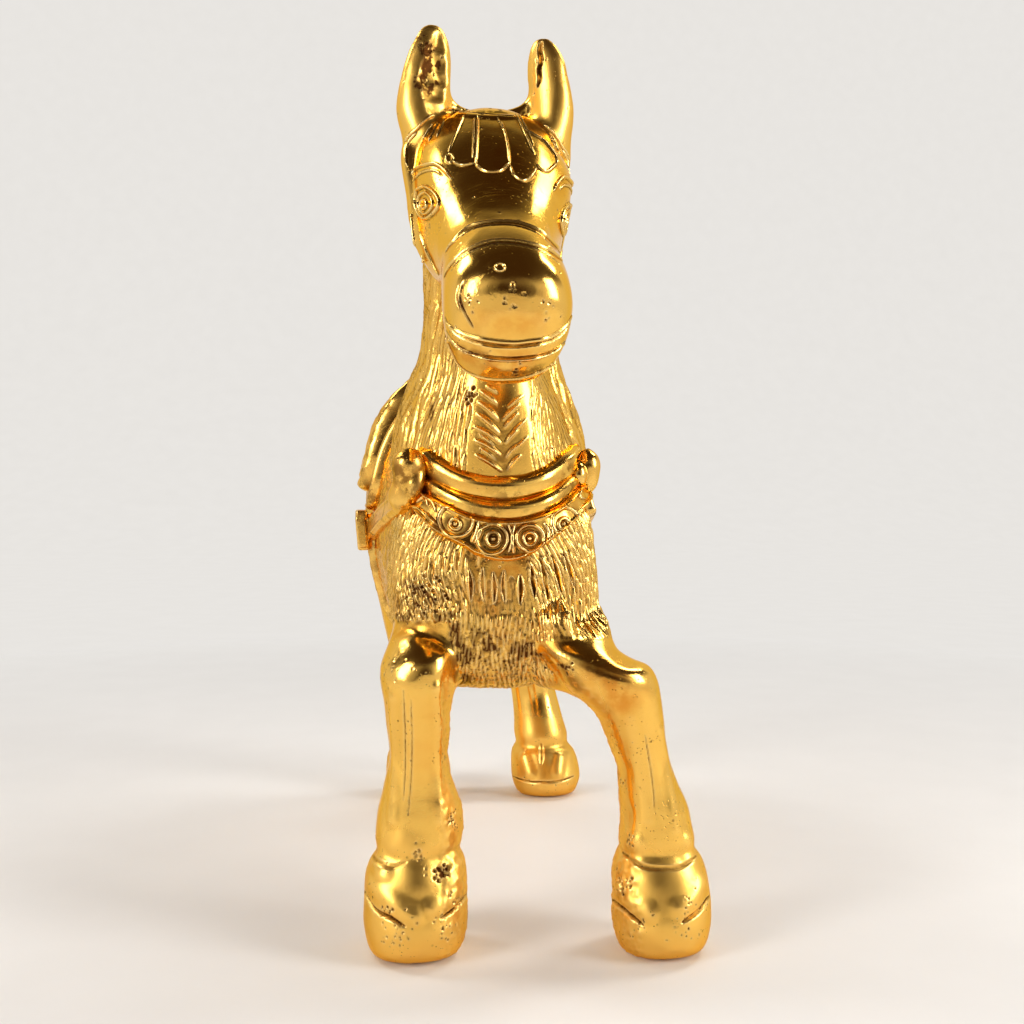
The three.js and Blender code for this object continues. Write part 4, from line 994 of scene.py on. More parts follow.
for radius, height, drawn in THROAT:
    bold.line(pixel_line(drawn, 0.08), radius, height, 0.35)
LENSES = strokes("""
0.3 0.2  469,570 471,584 471,600
0.28 0.18  483,568 482,584 484,601
0.3 0.2  493,572 495,588 494,604
0.28 0.18  504,570 503,586 505,602
0.36 0.36  520,575 521,590 520,604
0.42 0.44  531,566 533,582 535,597
0.42 0.44  541,562 545,580 548,596
0.4 0.42  552,557 557,574 561,592
0.4 0.4  563,553 569,570 574,586
""")
for radius, depth, drawn in LENSES:
    grooves.line(pixel_line(drawn, 0.08), radius, depth, 0.45)
    for aside in (-3.2, 3.0):
        rim = [(place[0] + aside * share, place[1]) for place, share in zip(drawn, (0.3, 1, 0.3))]
        bold.line(pixel_line(rim, 0.1), 0.24, depth * 0.6, 0.3)
# the beads along the mane's edges
BEADS = pixels("""
566,382 569,390 572,398 575,406 577.5,414 580,422 582.5,430 584.5,438 399,404 397,413 395.5,422 395,431
""")
for place in BEADS:
    spot = seen(*place)
    if spot:
        bold.spot(spot, 0.55, 0.4)

# ---- hooves and fetlocks
HOOF_GROOVES = strokes("""
0.6 0.26  369,850 374,858 380,863 388,866 396,866 406,862
0.5 0.6  362,888 364,891.5 371.5,906 379,913 391,918 405,926.6
0.45 0.5  467,894 465,897.5 456,908 447,914.5 440.6,919
0.55 0.28  622,852 638,864 652.7,868 674.5,868 686,864 696,856
0.5 0.55  612,900 616,903.6 628,913 643,925
0.5 0.55  710,896 708,899 699,911 682,923
0.4 0.32  510,775 520,779.5 531,782 541,782 553,782 564,780 574,776
0.7 0.4  541,744 541.5,754 541,764
0.22 0.14  403.5,690 405,730 405,770 403.5,800
0.22 0.12  411,700 412,740 411,780 408,815
0.2 0.12  645,735 652,780 655,815
""")
# broad swellings: radius and height, and where
SWELLS = strokes("""
2.7 0.5  379,860 381,872
2.6 0.5  457,862 455,878
3.4 0.22  416,862 418,880
2.3 0.42  371,884 386,897 404,911 414,916
2.1 0.4  459,888 446,901 432,908
2.6 0.35  636,846 640,858
2.5 0.35  690,842 690,856
2.2 0.42  620,888 633,902 648,912
2.1 0.4  703,882 694,897 680,907
1.7 0.3  438,690 440,730 438,780 440,820
1.7 0.34  392,700 394,760 392,820
1.6 0.22  630,720 640,770 648,820
1.5 0.2  662,730 672,790 676,830
2.2 0.5  524,758 529,772
2.2 0.5  561,757 558,772
4 0.35  414,640 424,656
1.3 0.24  455,112 470,115 490,117 512,117
3.2 0.3  398,478 404,495
""")
swells = Stamps()
for radius, height, drawn in SWELLS:
    swells.line(pixel_line(drawn, 0.4), radius, height, 0)
for radius, depth, drawn in HOOF_GROOVES:
    grooves.line(pixel_line(drawn, 0.1), radius, depth, 0.25)


# ---- casting pits: where, how wide the patch is, how many, and how large they are
PIT_PATCHES = pixels("""
443,872,9,26,0.24 416,856,7,14,0.2 455,900,8,14,0.2 452,760,8,22,0.15 452,820,8,18,0.16 390,668,14,14,0.15
400,925,16,12,0.16 624,884,9,26,0.22 630,840,7,12,0.16 618,780,8,16,0.15 690,900,16,10,0.14
396,935,24,16,0.15 442,930,14,16,0.16 682,930,20,12,0.14 384,912,8,12,0.2 640,925,12,12,0.16
470,300,14,10,0.14 512,286,10,5,0.22 508,302,14,8,0.16 545,310,12,8,0.15 484,112,16,20,0.2 426,50,11,30,0.15
420,80,12,20,0.14 540,60,4,16,0.14 520,372,16,12,0.18 472,396,6,16,0.3 562,668,12,16,0.2 372,430,12,10,0.16
430,230,8,6,0.14 500,560,22,8,0.14 420,590,22,30,0.22
""")
pits = Stamps()
for px0, py0, spread, count, size in PIT_PATCHES:
    aside, down = random.normal(size=(2, int(count))) * 0.5
    for dx, dy, share in zip(aside, down, random.uniform(size=int(count))):
        spot = seen(px0 + spread * dx, py0 + spread * dy)
        if spot:
            pits.spot(spot, size * (0.6 + 0.9 * share), size * (0.5 + share))
LOOSE_PITS = 350
for k in random.choice(len(body.points), LOOSE_PITS, replace=False):
    size = random.uniform(0.1, 0.2)
    pits.spot(body.points[k], size, size)

# ---- dark marks and amber stains, by radius, strength and where; the dark ones are partly stains, partly painted shade along the crown's dip, the mouth, the nostril and the ears' hollow and slit
DARK = strokes("""
1.5 1  456,113 470,112 486,112 502,112 514,114
1 0.6  452,345 470,352 490,357
1.6 0.8  508,374 522,373 538,369
3.4 0.55  478,640 500,655 530,650
2.6 0.6  553,650 565,668 574,684
2.6 0.55  404,580 424,592 440,604
1.6 0.7  398,616 420,620 446,622
1.8 0.6  396,300 402,340 404,380 402,420
1.4 0.7  430,418 434,398
3 1  422,38 428,60 422,84
0.8 1.3  540,41 540,60 538,85
1.2 0.6  463,290 461,305
1.6 0.5  440,862 444,884
1.4 0.5  620,876 624,892
1.8 0.45  394,664 410,640
2 0.5  400,500 412,508
1.6 0.5  500,460 504,468
2.6 0.7  452,618 455,640 457,668
2.2 0.6  468,634 466,656 466,682
2.4 0.5  396,602 410,606 430,612
""")
AMBER = strokes("""
5 0.7  500,130 502,160 504,190
3 0.8  452,350 475,358 500,362 530,360
3.2 0.8  478,560 500,566 520,560
4 0.7  476,590 490,600 500,620
4.5 0.7  500,640 530,650 556,640
3.6 0.8  596,660 612,676 622,700
2.6 0.6  392,634 412,630 432,632
2.6 0.6  462,116 485,118 510,118
3 0.4  480,320 510,326 540,318
2.4 0.5  500,400 504,430 506,460
3 0.5  392,540 394,580 398,610
""")
dark, amber = Stamps(), Stamps()
for kind, drawings in ((dark, DARK), (amber, AMBER)):
    for radius, strength, drawn in drawings:
        kind.line(pixel_line(drawn, 0.5), radius, strength, 0)


# ---------------------------------------------------------------- carving
def under(kinds, margin):
    """The points of the body that lie under stamps of some kinds, or within a margin of them."""
    wanted = np.zeros(len(body.points), bool)
    for stamps in kinds:
        at = np.vstack(stamps.at)
        radius = np.concatenate(stamps.radius) + margin
        wanted |= stamp_field(body.points, at, radius, np.ones(len(at)), np.ones_like) > 0
    return wanted


def finer(wanted):
    """Quarters the faces of the body that touch the wanted points, and evens it out."""
    chosen = np.zeros(len(body.starts), bool)
    chosen[body.face[wanted[body.corners]]] = True
    body.split(chosen)
    body.relax(1)


finer(chest_area | matted | throat | low_chest | lens_zone | bare)
finer(under([fine, grooves, pits], 0.1))
finer(under([fine], -0.04))


def ripple(points, sizes, count=10):
    """A quiet unevenness, as hand finishing leaves."""
    total = np.zeros(len(points))
    for size, height in sizes:
        for _ in range(count):
            way = random.normal(size=3)
            way /= np.linalg.norm(way)
            total += height / math.sqrt(count) * np.sin(points @ way * (2 * math.pi / size) + random.uniform(0, 6.28))
    return total


vertex_label, x, y, z, px, py = take_stock()
normals = body.normals()
furry = on("trunk", "neck", "tail", "mane") & ~(on("trunk") & (y < CHEST_Y) & (px < 449) & (py > 621))
furry |= on("hindleg_right", "hindleg_left") & (z > THIGH_Z)
furry |= on("foreleg_left") & (py < 638) & (y < FORELEG_Y)
furry = smoothstep(body.blur(furry.astype(float), 12), 0.2, 0.8)
furry *= 1 - 0.92 * smoothstep(py, 616, 646) * smoothstep(px, 536, 556) * (y < CHEST_Y)
relief = ripple(body.points, [(17, 0.06), (7, 0.03), (3, 0.012)])

# the inner sides of the forelegs, left rough as cast
edge_left = np.interp(py, [690, 760, 850, 905], [606, 620, 632, 645])
rough_skin = on("foreleg_right") * smoothstep(px, 436, 444) * smoothstep(py, 660, 700)
rough_skin += on("foreleg_left") * (1 - smoothstep(px - edge_left, -8, 2)) * smoothstep(py, 660, 700)
rough_skin = np.clip(rough_skin, 0, 1)
relief += rough_skin * ripple(body.points, [(1.5, 0.07), (0.9, 0.045)], 14)
relief += swells.field(body.points, soft_profile)

hair_relief = hair.field(body.points)
HAIR_SUNK = 0.18
relief += (hair_relief - HAIR_SUNK) * furry * (hair_relief > 0)
relief = np.maximum(relief, relief * 0.4 + fine.field(body.points) + bold.field(body.points))
groove_depth = grooves.field(body.points, soft_profile)
pit_depth = pits.field(body.points)
relief -= groove_depth + pit_depth


EAR_HOLLOWS = {"ear_right": (0.12, 0.62), "ear_left": (-0.68, 0.3)}
EAR_HOLLOW_DEPTH, EAR_HOLLOW_MIDDLE, EAR_HOLLOW_TALL = 0.95, 0.62, 0.34


def ear_hollow(points, normals):
    """How deep the front of the ears is hollowed; each hollow has its shift and width in half ears."""
    depth = np.zeros(len(points))
    uneven = ripple(points, [(6, 0.2), (2.5, 0.12)])
    rows = np.array(EAR)
    for name, (side, turn, size) in EARS.items():
        share = (points[:, 2] - EAR_Z) / (EAR_TALL * size)
        out = np.interp(share, rows[:, 0], rows[:, 1])
        wide = np.interp(share, rows[:, 0], rows[:, 2]) * EAR_WIDTH * size / 2
        dx = points[:, 0] - HEAD_X - side * EAR_SPREAD * out
        dy = points[:, 1] - EAR_Y + EAR_LEAN * share
        c, s = math.cos(side * turn), math.sin(side * turn)
        across = (dx * c - dy * s) / np.maximum(wide, 0.5)
        facing = -(-normals[:, 0] * s + normals[:, 1] * c)
        shift, width = EAR_HOLLOWS[name]
        inside = 1 - ((across - shift) / width) ** 2 + uneven
        inside -= ((share - EAR_HOLLOW_MIDDLE) / EAR_HOLLOW_TALL) ** 2
        depth += on(name) * EAR_HOLLOW_DEPTH * smoothstep(inside, 0, 1.1) * smoothstep(facing, 0.0, 0.5)
    return depth


ear_depth = ear_hollow(body.points, normals)
relief -= ear_depth
body.points = body.points + normals * relief[:, None]
body.shown_normals = body.normals()


def bends(skin):
    """How hollow and how ridged the skin is at each point, from nothing to one."""
    bend = np.einsum("ij,ij->i", skin.around(skin.points) - skin.points, skin.normals())
    length = np.linalg.norm(skin.points[skin.corners] - skin.points[skin.head], axis=1)
    length = skin.sum_at(skin.corners, length) / np.maximum(skin.sum_at(skin.corners, np.ones(len(length))), 1)
    bend = bend / np.maximum(length, 1e-6) ** 2
    return skin.blur(np.clip(bend, 0, 3), 1), skin.blur(np.clip(-bend, 0, 3), 1)


feet = (1 - smoothstep(z, 17 + 3 * ripple(body.points, [(9, 1)]), 24)) * 0.75
worn = on("ear_right", "ear_left") * 0.6
rough_cast = np.clip(body.blur(np.maximum(np.maximum(feet, worn), rough_skin * 0.8), 6), 0, 1)
hollow, ridge = bends(body)
combed = smoothstep(body.blur((hair_relief > 0).astype(float), 4), 0.2, 0.7)
# the valleys between the hair strokes, darkened below as painted shade
between_hair = smoothstep(0.16 - hair_relief, 0.0, 0.16) * furry * combed
# darker in hollows, grooves, pits, the ears' hollows and between the hair: partly patina, partly painted shade
patina_and_shade = hollow * 0.55 + groove_depth * 1.2 + pit_depth * 2.5 + ear_depth * 0.3 + between_hair * 0.5
fields = {
    "patina_and_shade": np.clip(patina_and_shade, 0, 1),
    # paler gold on ridges: partly rubbed wear, partly a painted highlight
    "edge": np.clip(ridge * 0.5, 0, 1),
    # dark stains and painted shade: the dark marks above, and the ears' hollows darkened as painted shade
    "stain_and_shade": np.maximum(dark.field(body.points, soft_profile), 0.95 * smoothstep(ear_depth, 0.35, 0.8)),
    "amber": amber.field(body.points, soft_profile),
    "cast": rough_cast,
}


# ---------------------------------------------------------------- materials
def new_tree(name):
    """A material with an empty node tree."""
    material = bpy.data.materials.new(name)
    material.use_nodes = True
    material.node_tree.nodes.clear()
    return material, material.node_tree


def node(tree, kind, inputs=None, **settings):
    """A node with its settings, and its inputs linked to sockets or set to values."""
    made = tree.nodes.new(kind)
    for key, value in settings.items():
        setattr(made, key, value)
    for key, value in (inputs or {}).items():
        if isinstance(value, bpy.types.NodeSocket):
            tree.links.new(value, made.inputs[key])
        else:
            made.inputs[key].default_value = value
    return made


def worked(tree, kind, a, b):
    """The socket of two values worked together; a sum stays between nought and one."""
    return node(tree, "ShaderNodeMath", {0: a, 1: b}, operation=kind, use_clamp=kind == "ADD").outputs[0]


def eased(tree, value, low, high, most=1.0):
    """The socket of a smooth rise from low to high."""
    limits = {"Value": value, "From Min": low, "From Max": high, "To Max": most}
    return node(tree, "ShaderNodeMapRange", limits, interpolation_type="SMOOTHSTEP").outputs[0]


def mix(tree, factor, a, b):
    """The socket of a colour between two others."""
    return node(tree, "ShaderNodeMix", {"Factor": factor, 6: a, 7: b}, data_type="RGBA").outputs[2]


def marks_group():
    """Masks that every piece shares: stains, amber, pits, scratches and unevenness, and darker hollows that are
    partly patina, partly painted shade.
    """
    tree = bpy.data.node_groups.new("gilt marks", "ShaderNodeTree")
    for name in ("Dark", "Amber", "Rough", "Height"):
        tree.interface.new_socket(name, in_out="OUTPUT", socket_type="NodeSocketFloat")
    for name in ("Patina and shade", "Stain and shade", "Tint"):
        tree.interface.new_socket(name, in_out="INPUT", socket_type="NodeSocketFloat")
    given = node(tree, "NodeGroupInput").outputs
    out = node(tree, "NodeGroupOutput").inputs
    spot = node(tree, "ShaderNodeTexCoord").outputs["Object"]
    maths = lambda kind, a, b: worked(tree, kind, a, b)
    noise = lambda scale, detail=3.0, at=spot: node(
        tree, "ShaderNodeTexNoise", {"Vector": at, "Scale": scale, "Detail": detail, "Roughness": 0.6}
    ).outputs["Fac"]
    span = lambda value, low, high: eased(tree, value, low, high)

    cloud, grain, fine_grain = noise(70.0), noise(520.0, 5.0), noise(2600.0, 2.0)
    pits = []
    for scale, size, share in ((620.0, 0.085, 0.56), (1500.0, 0.1, 0.5)):
        cells = node(tree, "ShaderNodeTexVoronoi", {"Vector": spot, "Scale": scale}).outputs["Distance"]
        patch = span(noise(150.0, 2.0), share, share + 0.12)
        pits.append(maths("MULTIPLY", span(cells, size * 2, size), patch))
    pit = maths("MAXIMUM", *pits)
    lines = []
    for turn in ((0.4, 0.2, 0.9), (1.3, 0.7, -0.5), (-0.3, 1.1, 0.2)):
        turned = node(tree, "ShaderNodeMapping", {"Vector": spot, "Rotation": turn, "Scale": (60.0, 4200.0, 900.0)})
        streak = span(noise(1.0, 1.0, turned.outputs[0]), 0.66, 0.74)
        lines.append(maths("MULTIPLY", streak, span(noise(110.0, 1.0), 0.45, 0.6)))
    scratch = maths("MAXIMUM", maths("MAXIMUM", lines[0], lines[1]), lines[2])

    # Dark: the hollows' patina and painted shade, the stains with the painted shade of the ears, and the pits
    broken = maths("ADD", 0.55, maths("MULTIPLY", span(grain, 0.36, 0.62), 0.6))
    # the stains, with the painted shade of the ears' hollows, slits and creases
    stain_and_shade = maths("MULTIPLY", given["Stain and shade"], span(grain, 0.4, 0.55))
    dark = maths("ADD", maths("MULTIPLY", given["Patina and shade"], broken), stain_and_shade)
    dark = maths("MAXIMUM", dark, maths("MULTIPLY", pit, 0.8))
    tint = maths("MULTIPLY", given["Tint"], span(grain, 0.3, 0.62))
    tint = maths("ADD", tint, maths("MULTIPLY", span(cloud, 0.52, 0.72), 0.45))
    rough = maths("ADD", maths("MULTIPLY", cloud, 0.1), maths("MULTIPLY", grain, 0.1))
    rough = maths("ADD", rough, maths("ADD", maths("MULTIPLY", dark, 0.3), maths("MULTIPLY", scratch, 0.1)))
    height = maths("SUBTRACT", maths("MULTIPLY", grain, 0.35), maths("MULTIPLY", pit, 0.6))
    height = maths("SUBTRACT", height, maths("MULTIPLY", scratch, 0.12))
    height = node(tree, "ShaderNodeMath", {0: fine_grain, 1: 0.12, 2: height}, operation="MULTIPLY_ADD").outputs[0]
    for name, value in (("Dark", dark), ("Amber", tint), ("Rough", rough), ("Height", height)):
        tree.links.new(value, out[name])
    return tree


MARKS = marks_group()


def gold(name, base, deep, pale, rough, bump):
    """Gilt metal: deeper in amber patches; browner in hollows, partly patina and partly painted shade; paler on
    ridges, partly rubbed wear and partly a painted highlight.
    """
    material, tree = new_tree(name)
    read = lambda key: node(tree, "ShaderNodeAttribute", attribute_name=key).outputs["Fac"]
    marks = node(tree, "ShaderNodeGroup", node_tree=MARKS)
    for socket, key in (("Patina and shade", "patina_and_shade"), ("Stain and shade", "stain_and_shade"), ("Tint", "amber")):
        tree.links.new(read(key), marks.inputs[socket])
    colour = mix(tree, marks.outputs["Amber"], base, deep)
    # paler gold on ridges and edges: partly rubbed wear, partly a painted highlight
    colour = mix(tree, read("edge"), colour, pale)
    # dark brown in hollows, stains and pits: patina and stains, partly painted shade
    colour = mix(tree, marks.outputs["Dark"], colour, (0.1, 0.035, 0.008, 1))
    coarse = node(tree, "ShaderNodeMath", {0: read("cast"), 1: 0.24, 2: rough}, operation="MULTIPLY_ADD")
    roughness = node(tree, "ShaderNodeMath", {0: marks.outputs["Rough"], 1: coarse.outputs[0]}, operation="ADD")
    height = node(tree, "ShaderNodeBump", {"Height": marks.outputs["Height"], "Distance": bump, "Strength": 1.0})
    shader = node(
        tree,
        "ShaderNodeBsdfPrincipled",
        {
            "Base Color": colour,
            "Metallic": 1.0,
            "Roughness": roughness.outputs[0],
            "Specular Tint": (1.0, 0.78, 0.4, 1),
            "Normal": height.outputs[0],
        },
    )
    tree.links.new(shader.outputs[0], node(tree, "ShaderNodeOutputMaterial").inputs[0])
    return material


DEEP, PALE = (0.74, 0.3, 0.035, 1), (0.98, 0.72, 0.3, 1)
FINISHES = {
    "polished_gilt": gold("polished gold", (0.93, 0.54, 0.105, 1), DEEP, PALE, 0.05, 0.00004),
    "chased_gilt": gold("chased gold", (0.91, 0.51, 0.09, 1), DEEP, PALE, 0.1, 0.00005),
}


# ---------------------------------------------------------------- pieces
def close_loops(points, normals, faces_corners, starts, depth=1.0):
    """Faces and points that close each open edge of a patch behind its skin."""
    total = len(faces_corners)
    ends = np.append(starts[1:], total)
    after = np.arange(1, total + 1)
    after[ends - 1] = starts
    a, b = faces_corners, faces_corners[after]
    big = len(points)
    key, back = a.astype(np.int64) * big + b, b.astype(np.int64) * big + a
    open_edges = ~np.isin(key, back)
    following = {}
    for s, t in zip(a[open_edges].tolist(), b[open_edges].tolist()):
        following.setdefault(s, []).append(t)
    new_points, new_faces = [], []
    while following:
        start = next(iter(following))
        loop = [start]
        while True:
            options = following[loop[-1]]
            step = options.pop()
            if not options:
                del following[loop[-1]]
            if step == start:
                break
            loop.append(step)
        inner = points[loop] - depth * normals[loop]
        heart = inner.mean(0) - depth * normals[loop].mean(0)
        base = big + len(new_points)
        new_points += inner.tolist() + [heart.tolist()]
        count = len(loop)
        for i in range(count):
            j = (i + 1) % count
            new_faces.append([loop[j], loop[i], base + i, base + j])
            new_faces.append([base + j, base + i, base + count])
    return new_points, new_faces


BOX_LOW, BOX_HIGH = (np.array(corner) / MM for corner in cad_box)


def to_object(name, points, faces, fields, slot, nodes, smooth=None, shading=None):
    """A finished piece: its first faces smooth, and shaded by the normals given."""
    mesh = bpy.data.meshes.new(name)
    mesh.from_pydata((np.clip(points, BOX_LOW, BOX_HIGH) * MM).tolist(), [], faces)
    flat = np.arange(len(faces)) >= (len(faces) if smooth is None else smooth)
    mesh.polygons.foreach_set("use_smooth", ~flat)
    for key, values in fields.items():
        layer = mesh.attributes.new(key, "FLOAT", "POINT")
        filled = np.zeros(len(points))
        filled[: len(values)] = values
        layer.data.foreach_set("value", filled)
    if shading is not None:
        given = np.zeros((len(points), 3))
        given[: len(shading)] = shading
        mesh.normals_split_custom_set_from_vertices(given.tolist())
    obj = bpy.data.objects.new(name, mesh)
    bpy.context.scene.collection.objects.link(obj)
    mesh.materials.append(FINISHES[slot])
    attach(obj, "root")
    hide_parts(*nodes)


def cut_piece(skin, chosen, fields, slot, node_name):
    """The chosen faces of a skin as a closed piece."""
    mine = chosen[skin.face]
    corners = skin.corners[mine]
    counts = skin.counts[chosen]
    starts = np.cumsum(counts) - counts
    used, local = np.unique(corners, return_inverse=True)
    points, normals = skin.points[used], skin.shown_normals[used]
    extra, faces = close_loops(points, normals, local, starts)
    ends = starts + counts
    shown = [local[s:e].tolist() for s, e in zip(starts.tolist(), ends.tolist())]
    if extra:
        points = np.vstack([points, extra])
    fields = {k: v[used] for k, v in fields.items()}
    shading = skin.carved_normals[used]
    to_object(node_name + "_skin", points, shown + faces, fields, slot, [node_name], len(shown), shading)


body.carved_normals = body.normals()
body.points = body.points + ORIGIN
face_x = body.centres()[:, 0]
for name, half in (("trunk_right", face_x < ORIGIN[0]), ("trunk_left", face_x >= ORIGIN[0])):
    cut_piece(body, (body.label == names.index("trunk")) & half, fields, "chased_gilt", name)
for name in names[1:]:
    slot = "chased_gilt" if name in ("neck", "tail", "mane") else "polished_gilt"
    cut_piece(body, body.label == names.index(name), fields, slot, name)


# ---------------------------------------------------------------- the harness
def closed_grid(outer, inner):
    """A closed skin from two grids of points, the second behind the first."""
    rows, columns = outer.shape[:2]
    total = rows * columns
    points = np.vstack([outer.reshape(-1, 3), inner.reshape(-1, 3)])
    i, j = np.meshgrid(np.arange(rows - 1), np.arange(columns - 1), indexing="ij")
    a = (i * columns + j).ravel()
    front = np.stack([a, a + 1, a + columns + 1, a + columns], 1)
    back = front[:, ::-1] + total
    rim = list(range(columns)) + [columns * k + columns - 1 for k in range(1, rows)]
    rim += [total - 2 - k for k in range(columns - 1)] + [columns * k for k in range(rows - 2, 0, -1)]
    ring = np.array(rim)
    turn = np.roll(ring, -1)
    wall = np.stack([turn, ring, ring + total, turn + total], 1)
    faces = np.vstack([front, back, wall])
    p = points[faces]
    if np.einsum("ij,ij->i", p[:, 0], np.cross(p[:, 1], p[:, 2])).sum() < 0:
        faces = faces[:, ::-1]
    return points, faces.tolist()


def cast_out(starts, ways):
    """Where rays leave the body, and which way its skin faces there."""
    at, out = np.zeros(starts.shape), np.zeros(starts.shape)
    ways = np.broadcast_to(ways, starts.shape)
    for index in np.ndindex(starts.shape[:2]):
        # a ray that slips between two faces is cast again a little aside
        for aside in (0, 0.011, -0.017, 0.04, -0.09):
            hit, normal = skin_tree.ray_cast(Vector(starts[index] + aside), Vector(ways[index]))[:2]
            if hit:
                at[index], out[index] = hit, normal
                break
        else:
            at[index], out[index] = at[index[0], index[1] - 1], out[index[0], index[1] - 1]
    return at, out


def soften(grid, times):
    """A grid with each point drawn to its neighbours, its edges kept."""
    for _ in range(times):
        inner = grid.copy()
        inner[1:-1] = 0.5 * grid[1:-1] + 0.25 * (grid[:-2] + grid[2:])
        grid = inner.copy()
        grid[:, 1:-1] = 0.5 * inner[:, 1:-1] + 0.25 * (inner[:, :-2] + inner[:, 2:])
    return grid


def laid(starts, ways, times):
    """A grid of rays laid on the skin and evened out: its places, and the way out at each."""
    at, out = cast_out(starts, ways)
    return soften(at, times), unit(soften(out, 2 * times))


def rounded(share, width, edge):
    """One across a strip, rounding down to nothing at its edges; widths in millimetres."""
    near = np.minimum(share, 1 - share) * width / edge
    return np.sqrt(np.clip(1 - (1 - np.clip(near, 0, 1)) ** 2, 0, 1))


def from_edge(share, width):
    """How far each place across a strip is from its nearer edge, in millimetres."""
    return np.minimum(share, 1 - share) * width


def as_skin(points, faces):
    """Plain points and faces as a skin."""
    counts = np.array([len(f) for f in faces])
    corners = np.concatenate([np.asarray(f) for f in faces])
    return Skin(np.asarray(points, float), corners, np.cumsum(counts) - counts, np.zeros(len(counts), int))


def add_piece(name, points, faces, slot="polished_gilt"):
    """A piece of the harness, in the body's millimetres, with its stains, darker hollows that are partly patina and
    partly painted shade, and paler ridges that are partly wear and partly a painted highlight.
    """
    hollow, ridge = bends(as_skin(points, faces))
    stain_and_shade = 0.1 + 1.3 * ripple(points, [(9, 0.5), (4, 0.35)])
    fields = {
        # darker in the hollows: partly patina, partly painted shade
        "patina_and_shade": np.clip(hollow * 0.6, 0, 1),
        # paler on ridges: partly rubbed wear, partly a painted highlight
        "edge": np.clip(ridge * 0.5, 0, 1),
        "stain_and_shade": np.clip(stain_and_shade, 0, 1) * 0.7,
        "amber": np.clip(0.3 + ripple(points, [(12, 0.5)]), 0, 1) * 0.7,
        "cast": np.full(len(points), 0.1),
    }
    to_object(name + "_cast", np.asarray(points) + ORIGIN, faces, fields, slot, [name])


# the collar's plane rises to the rear, from a middle between the shoulders; the bosses' turn is in
# degrees from the front
SLOPE, MIDDLE = 0.21, 10
BOSS_TURN, BOSS_Z = 66, 75.2


def boss_spot(side, curve=0.037, most=4.2):
    """Where the collar's end crosses the skin, bent up from its plane."""
    start = np.array([0, MIDDLE, BOSS_Z + SLOPE * (MIDDLE - TRUNK_FRONT)])
    turn = math.radians(side * BOSS_TURN)
    for _ in range(4):
        hit = skin_tree.ray_cast(Vector(start), Vector((math.sin(turn), -math.cos(turn), 0)))[0]
        bent = curve * hit[0] ** 2
        start[2] = BOSS_Z + SLOPE * (hit[1] - TRUNK_FRONT) + most * (1 - math.exp(-bent / most)) * 1.12
    return hit


def evenly(points, count):
    """Points at equal steps along a line."""
    far = np.append(0, np.cumsum(np.linalg.norm(np.diff(points, axis=0), axis=1)))
    return np.stack([np.interp(np.linspace(0, far[-1], count), far, points[:, k]) for k in range(points.shape[1])], 1)


def roll(name, tall, deep, lips, drawn, count=190, sides=60):
    """A rounded roll across the chest; each lip has its angle round the roll and its height."""
    spots = evenly(pixel_line(pixels(drawn), 0.3), count)
    for _ in range(160):
        spots[1:-1] = 0.5 * spots[1:-1] + 0.25 * (spots[:-2] + spots[2:])
    along = unit(np.gradient(spots, axis=0))
    out = unit(np.cross(along, np.array([0, -SLOPE, 1]) / math.hypot(1, SLOPE)))
    upright = np.cross(out, along)
    angle = 2 * math.pi * np.arange(sides) / sides
    from_lip = lambda at: (angle - at + math.pi) % (2 * math.pi) - math.pi
    lip = sum(height * bell(from_lip(at), 0, 0.09) for at, height in lips)
    size = 1 + lip / math.hypot(tall, deep) * 1.4
    place = np.abs(np.linspace(-1, 1, count))
    rings = []
    for i in range(count):
        end = np.sqrt(np.clip(1 - max(place[i] - 0.97, 0) ** 2 / 0.031**2, 0.01, 1))
        end *= 1 - 0.4 * smoothstep(place[i], 0.82, 0.97)
        swell = (1 + 0.03 * math.sin(i * 0.09) + 0.02 * math.sin(i * 0.21 + 1)) * end
        a, b = oval(sides, deep * swell, tall * swell, tall * swell, 2.9, 2.9)
        rings.append(spots[i] - 0.4 * out[i] + np.outer(a * size, out[i]) + np.outer(b * size, upright[i]))
    add_piece(name, *loft(rings))


roll("collar_upper_roll", 1.95, 2.3, [(0.8, 0.05)], """
419,452 423,456.5 429,462 441.5,471.5 464,483.5 481,488 497.5,489.5 515,488.5 532.5,485 548,477.5 562,466.5
572,456 577,449
""")
roll("collar_lower_roll", 1.6, 1.9, [(-0.85, 0.16), (-0.62, -0.1)], """
414,473 425,482 448.5,497.5 469.5,507 485,510.5 500,511.5 517,511 532.5,508.5 546,503 558,495.5 570,483 579,471
""")


# ---- the breast band: its edges, the rings of its rosettes in their frames, and its scrolls
BAND_TOP = "413,482 424,491 438,500 452,508 473,517 503,520.5 532.5,517 557,506.5 574.5,487 585,475"
BAND_BOTTOM = """
413,502 419,514 429,526 440,536 466,549 477,556 503,561.5 525.5,557.5 546.5,543.5 566,528 580,511 589,491
"""
BAND_LENGTH, BAND_THICK, PIXELS_PER_MM = 27, 1.4, 6.5
ROSETTES = [
    (457, 525.5, 4.6, ring_of(458, 522, 15.5, 15)),
    (492.5, 539.5, 6.2, ring_of(491.5, 539.5, 14.5, 14)),
    (527.5, 539, 5.8, ring_of(527.5, 538.5, 13, 12.5)),
    (558.5, 525.5, 4.6, ring_of(559.5, 523, 11.5, 12.5)),
]
SCROLLS = """
472,542 476,533 478.5,523
475,543 480,534 481,527
507,526 511,539 507,552
512,553 510,539 513,526
541,524 545,534 543,547
546,545 548,536 547,527
573,512 579,505 582,497 578,490 572,493 573,500 578,502
567,512 572,519 570,527
417,497 424,494 431,500 433,508
423,505 431,501 438,507 440,514
431,515 436,522 443,528
419,508 426,512 431,518
484,556 494,558.5 503,559 516,558 524,555
"""


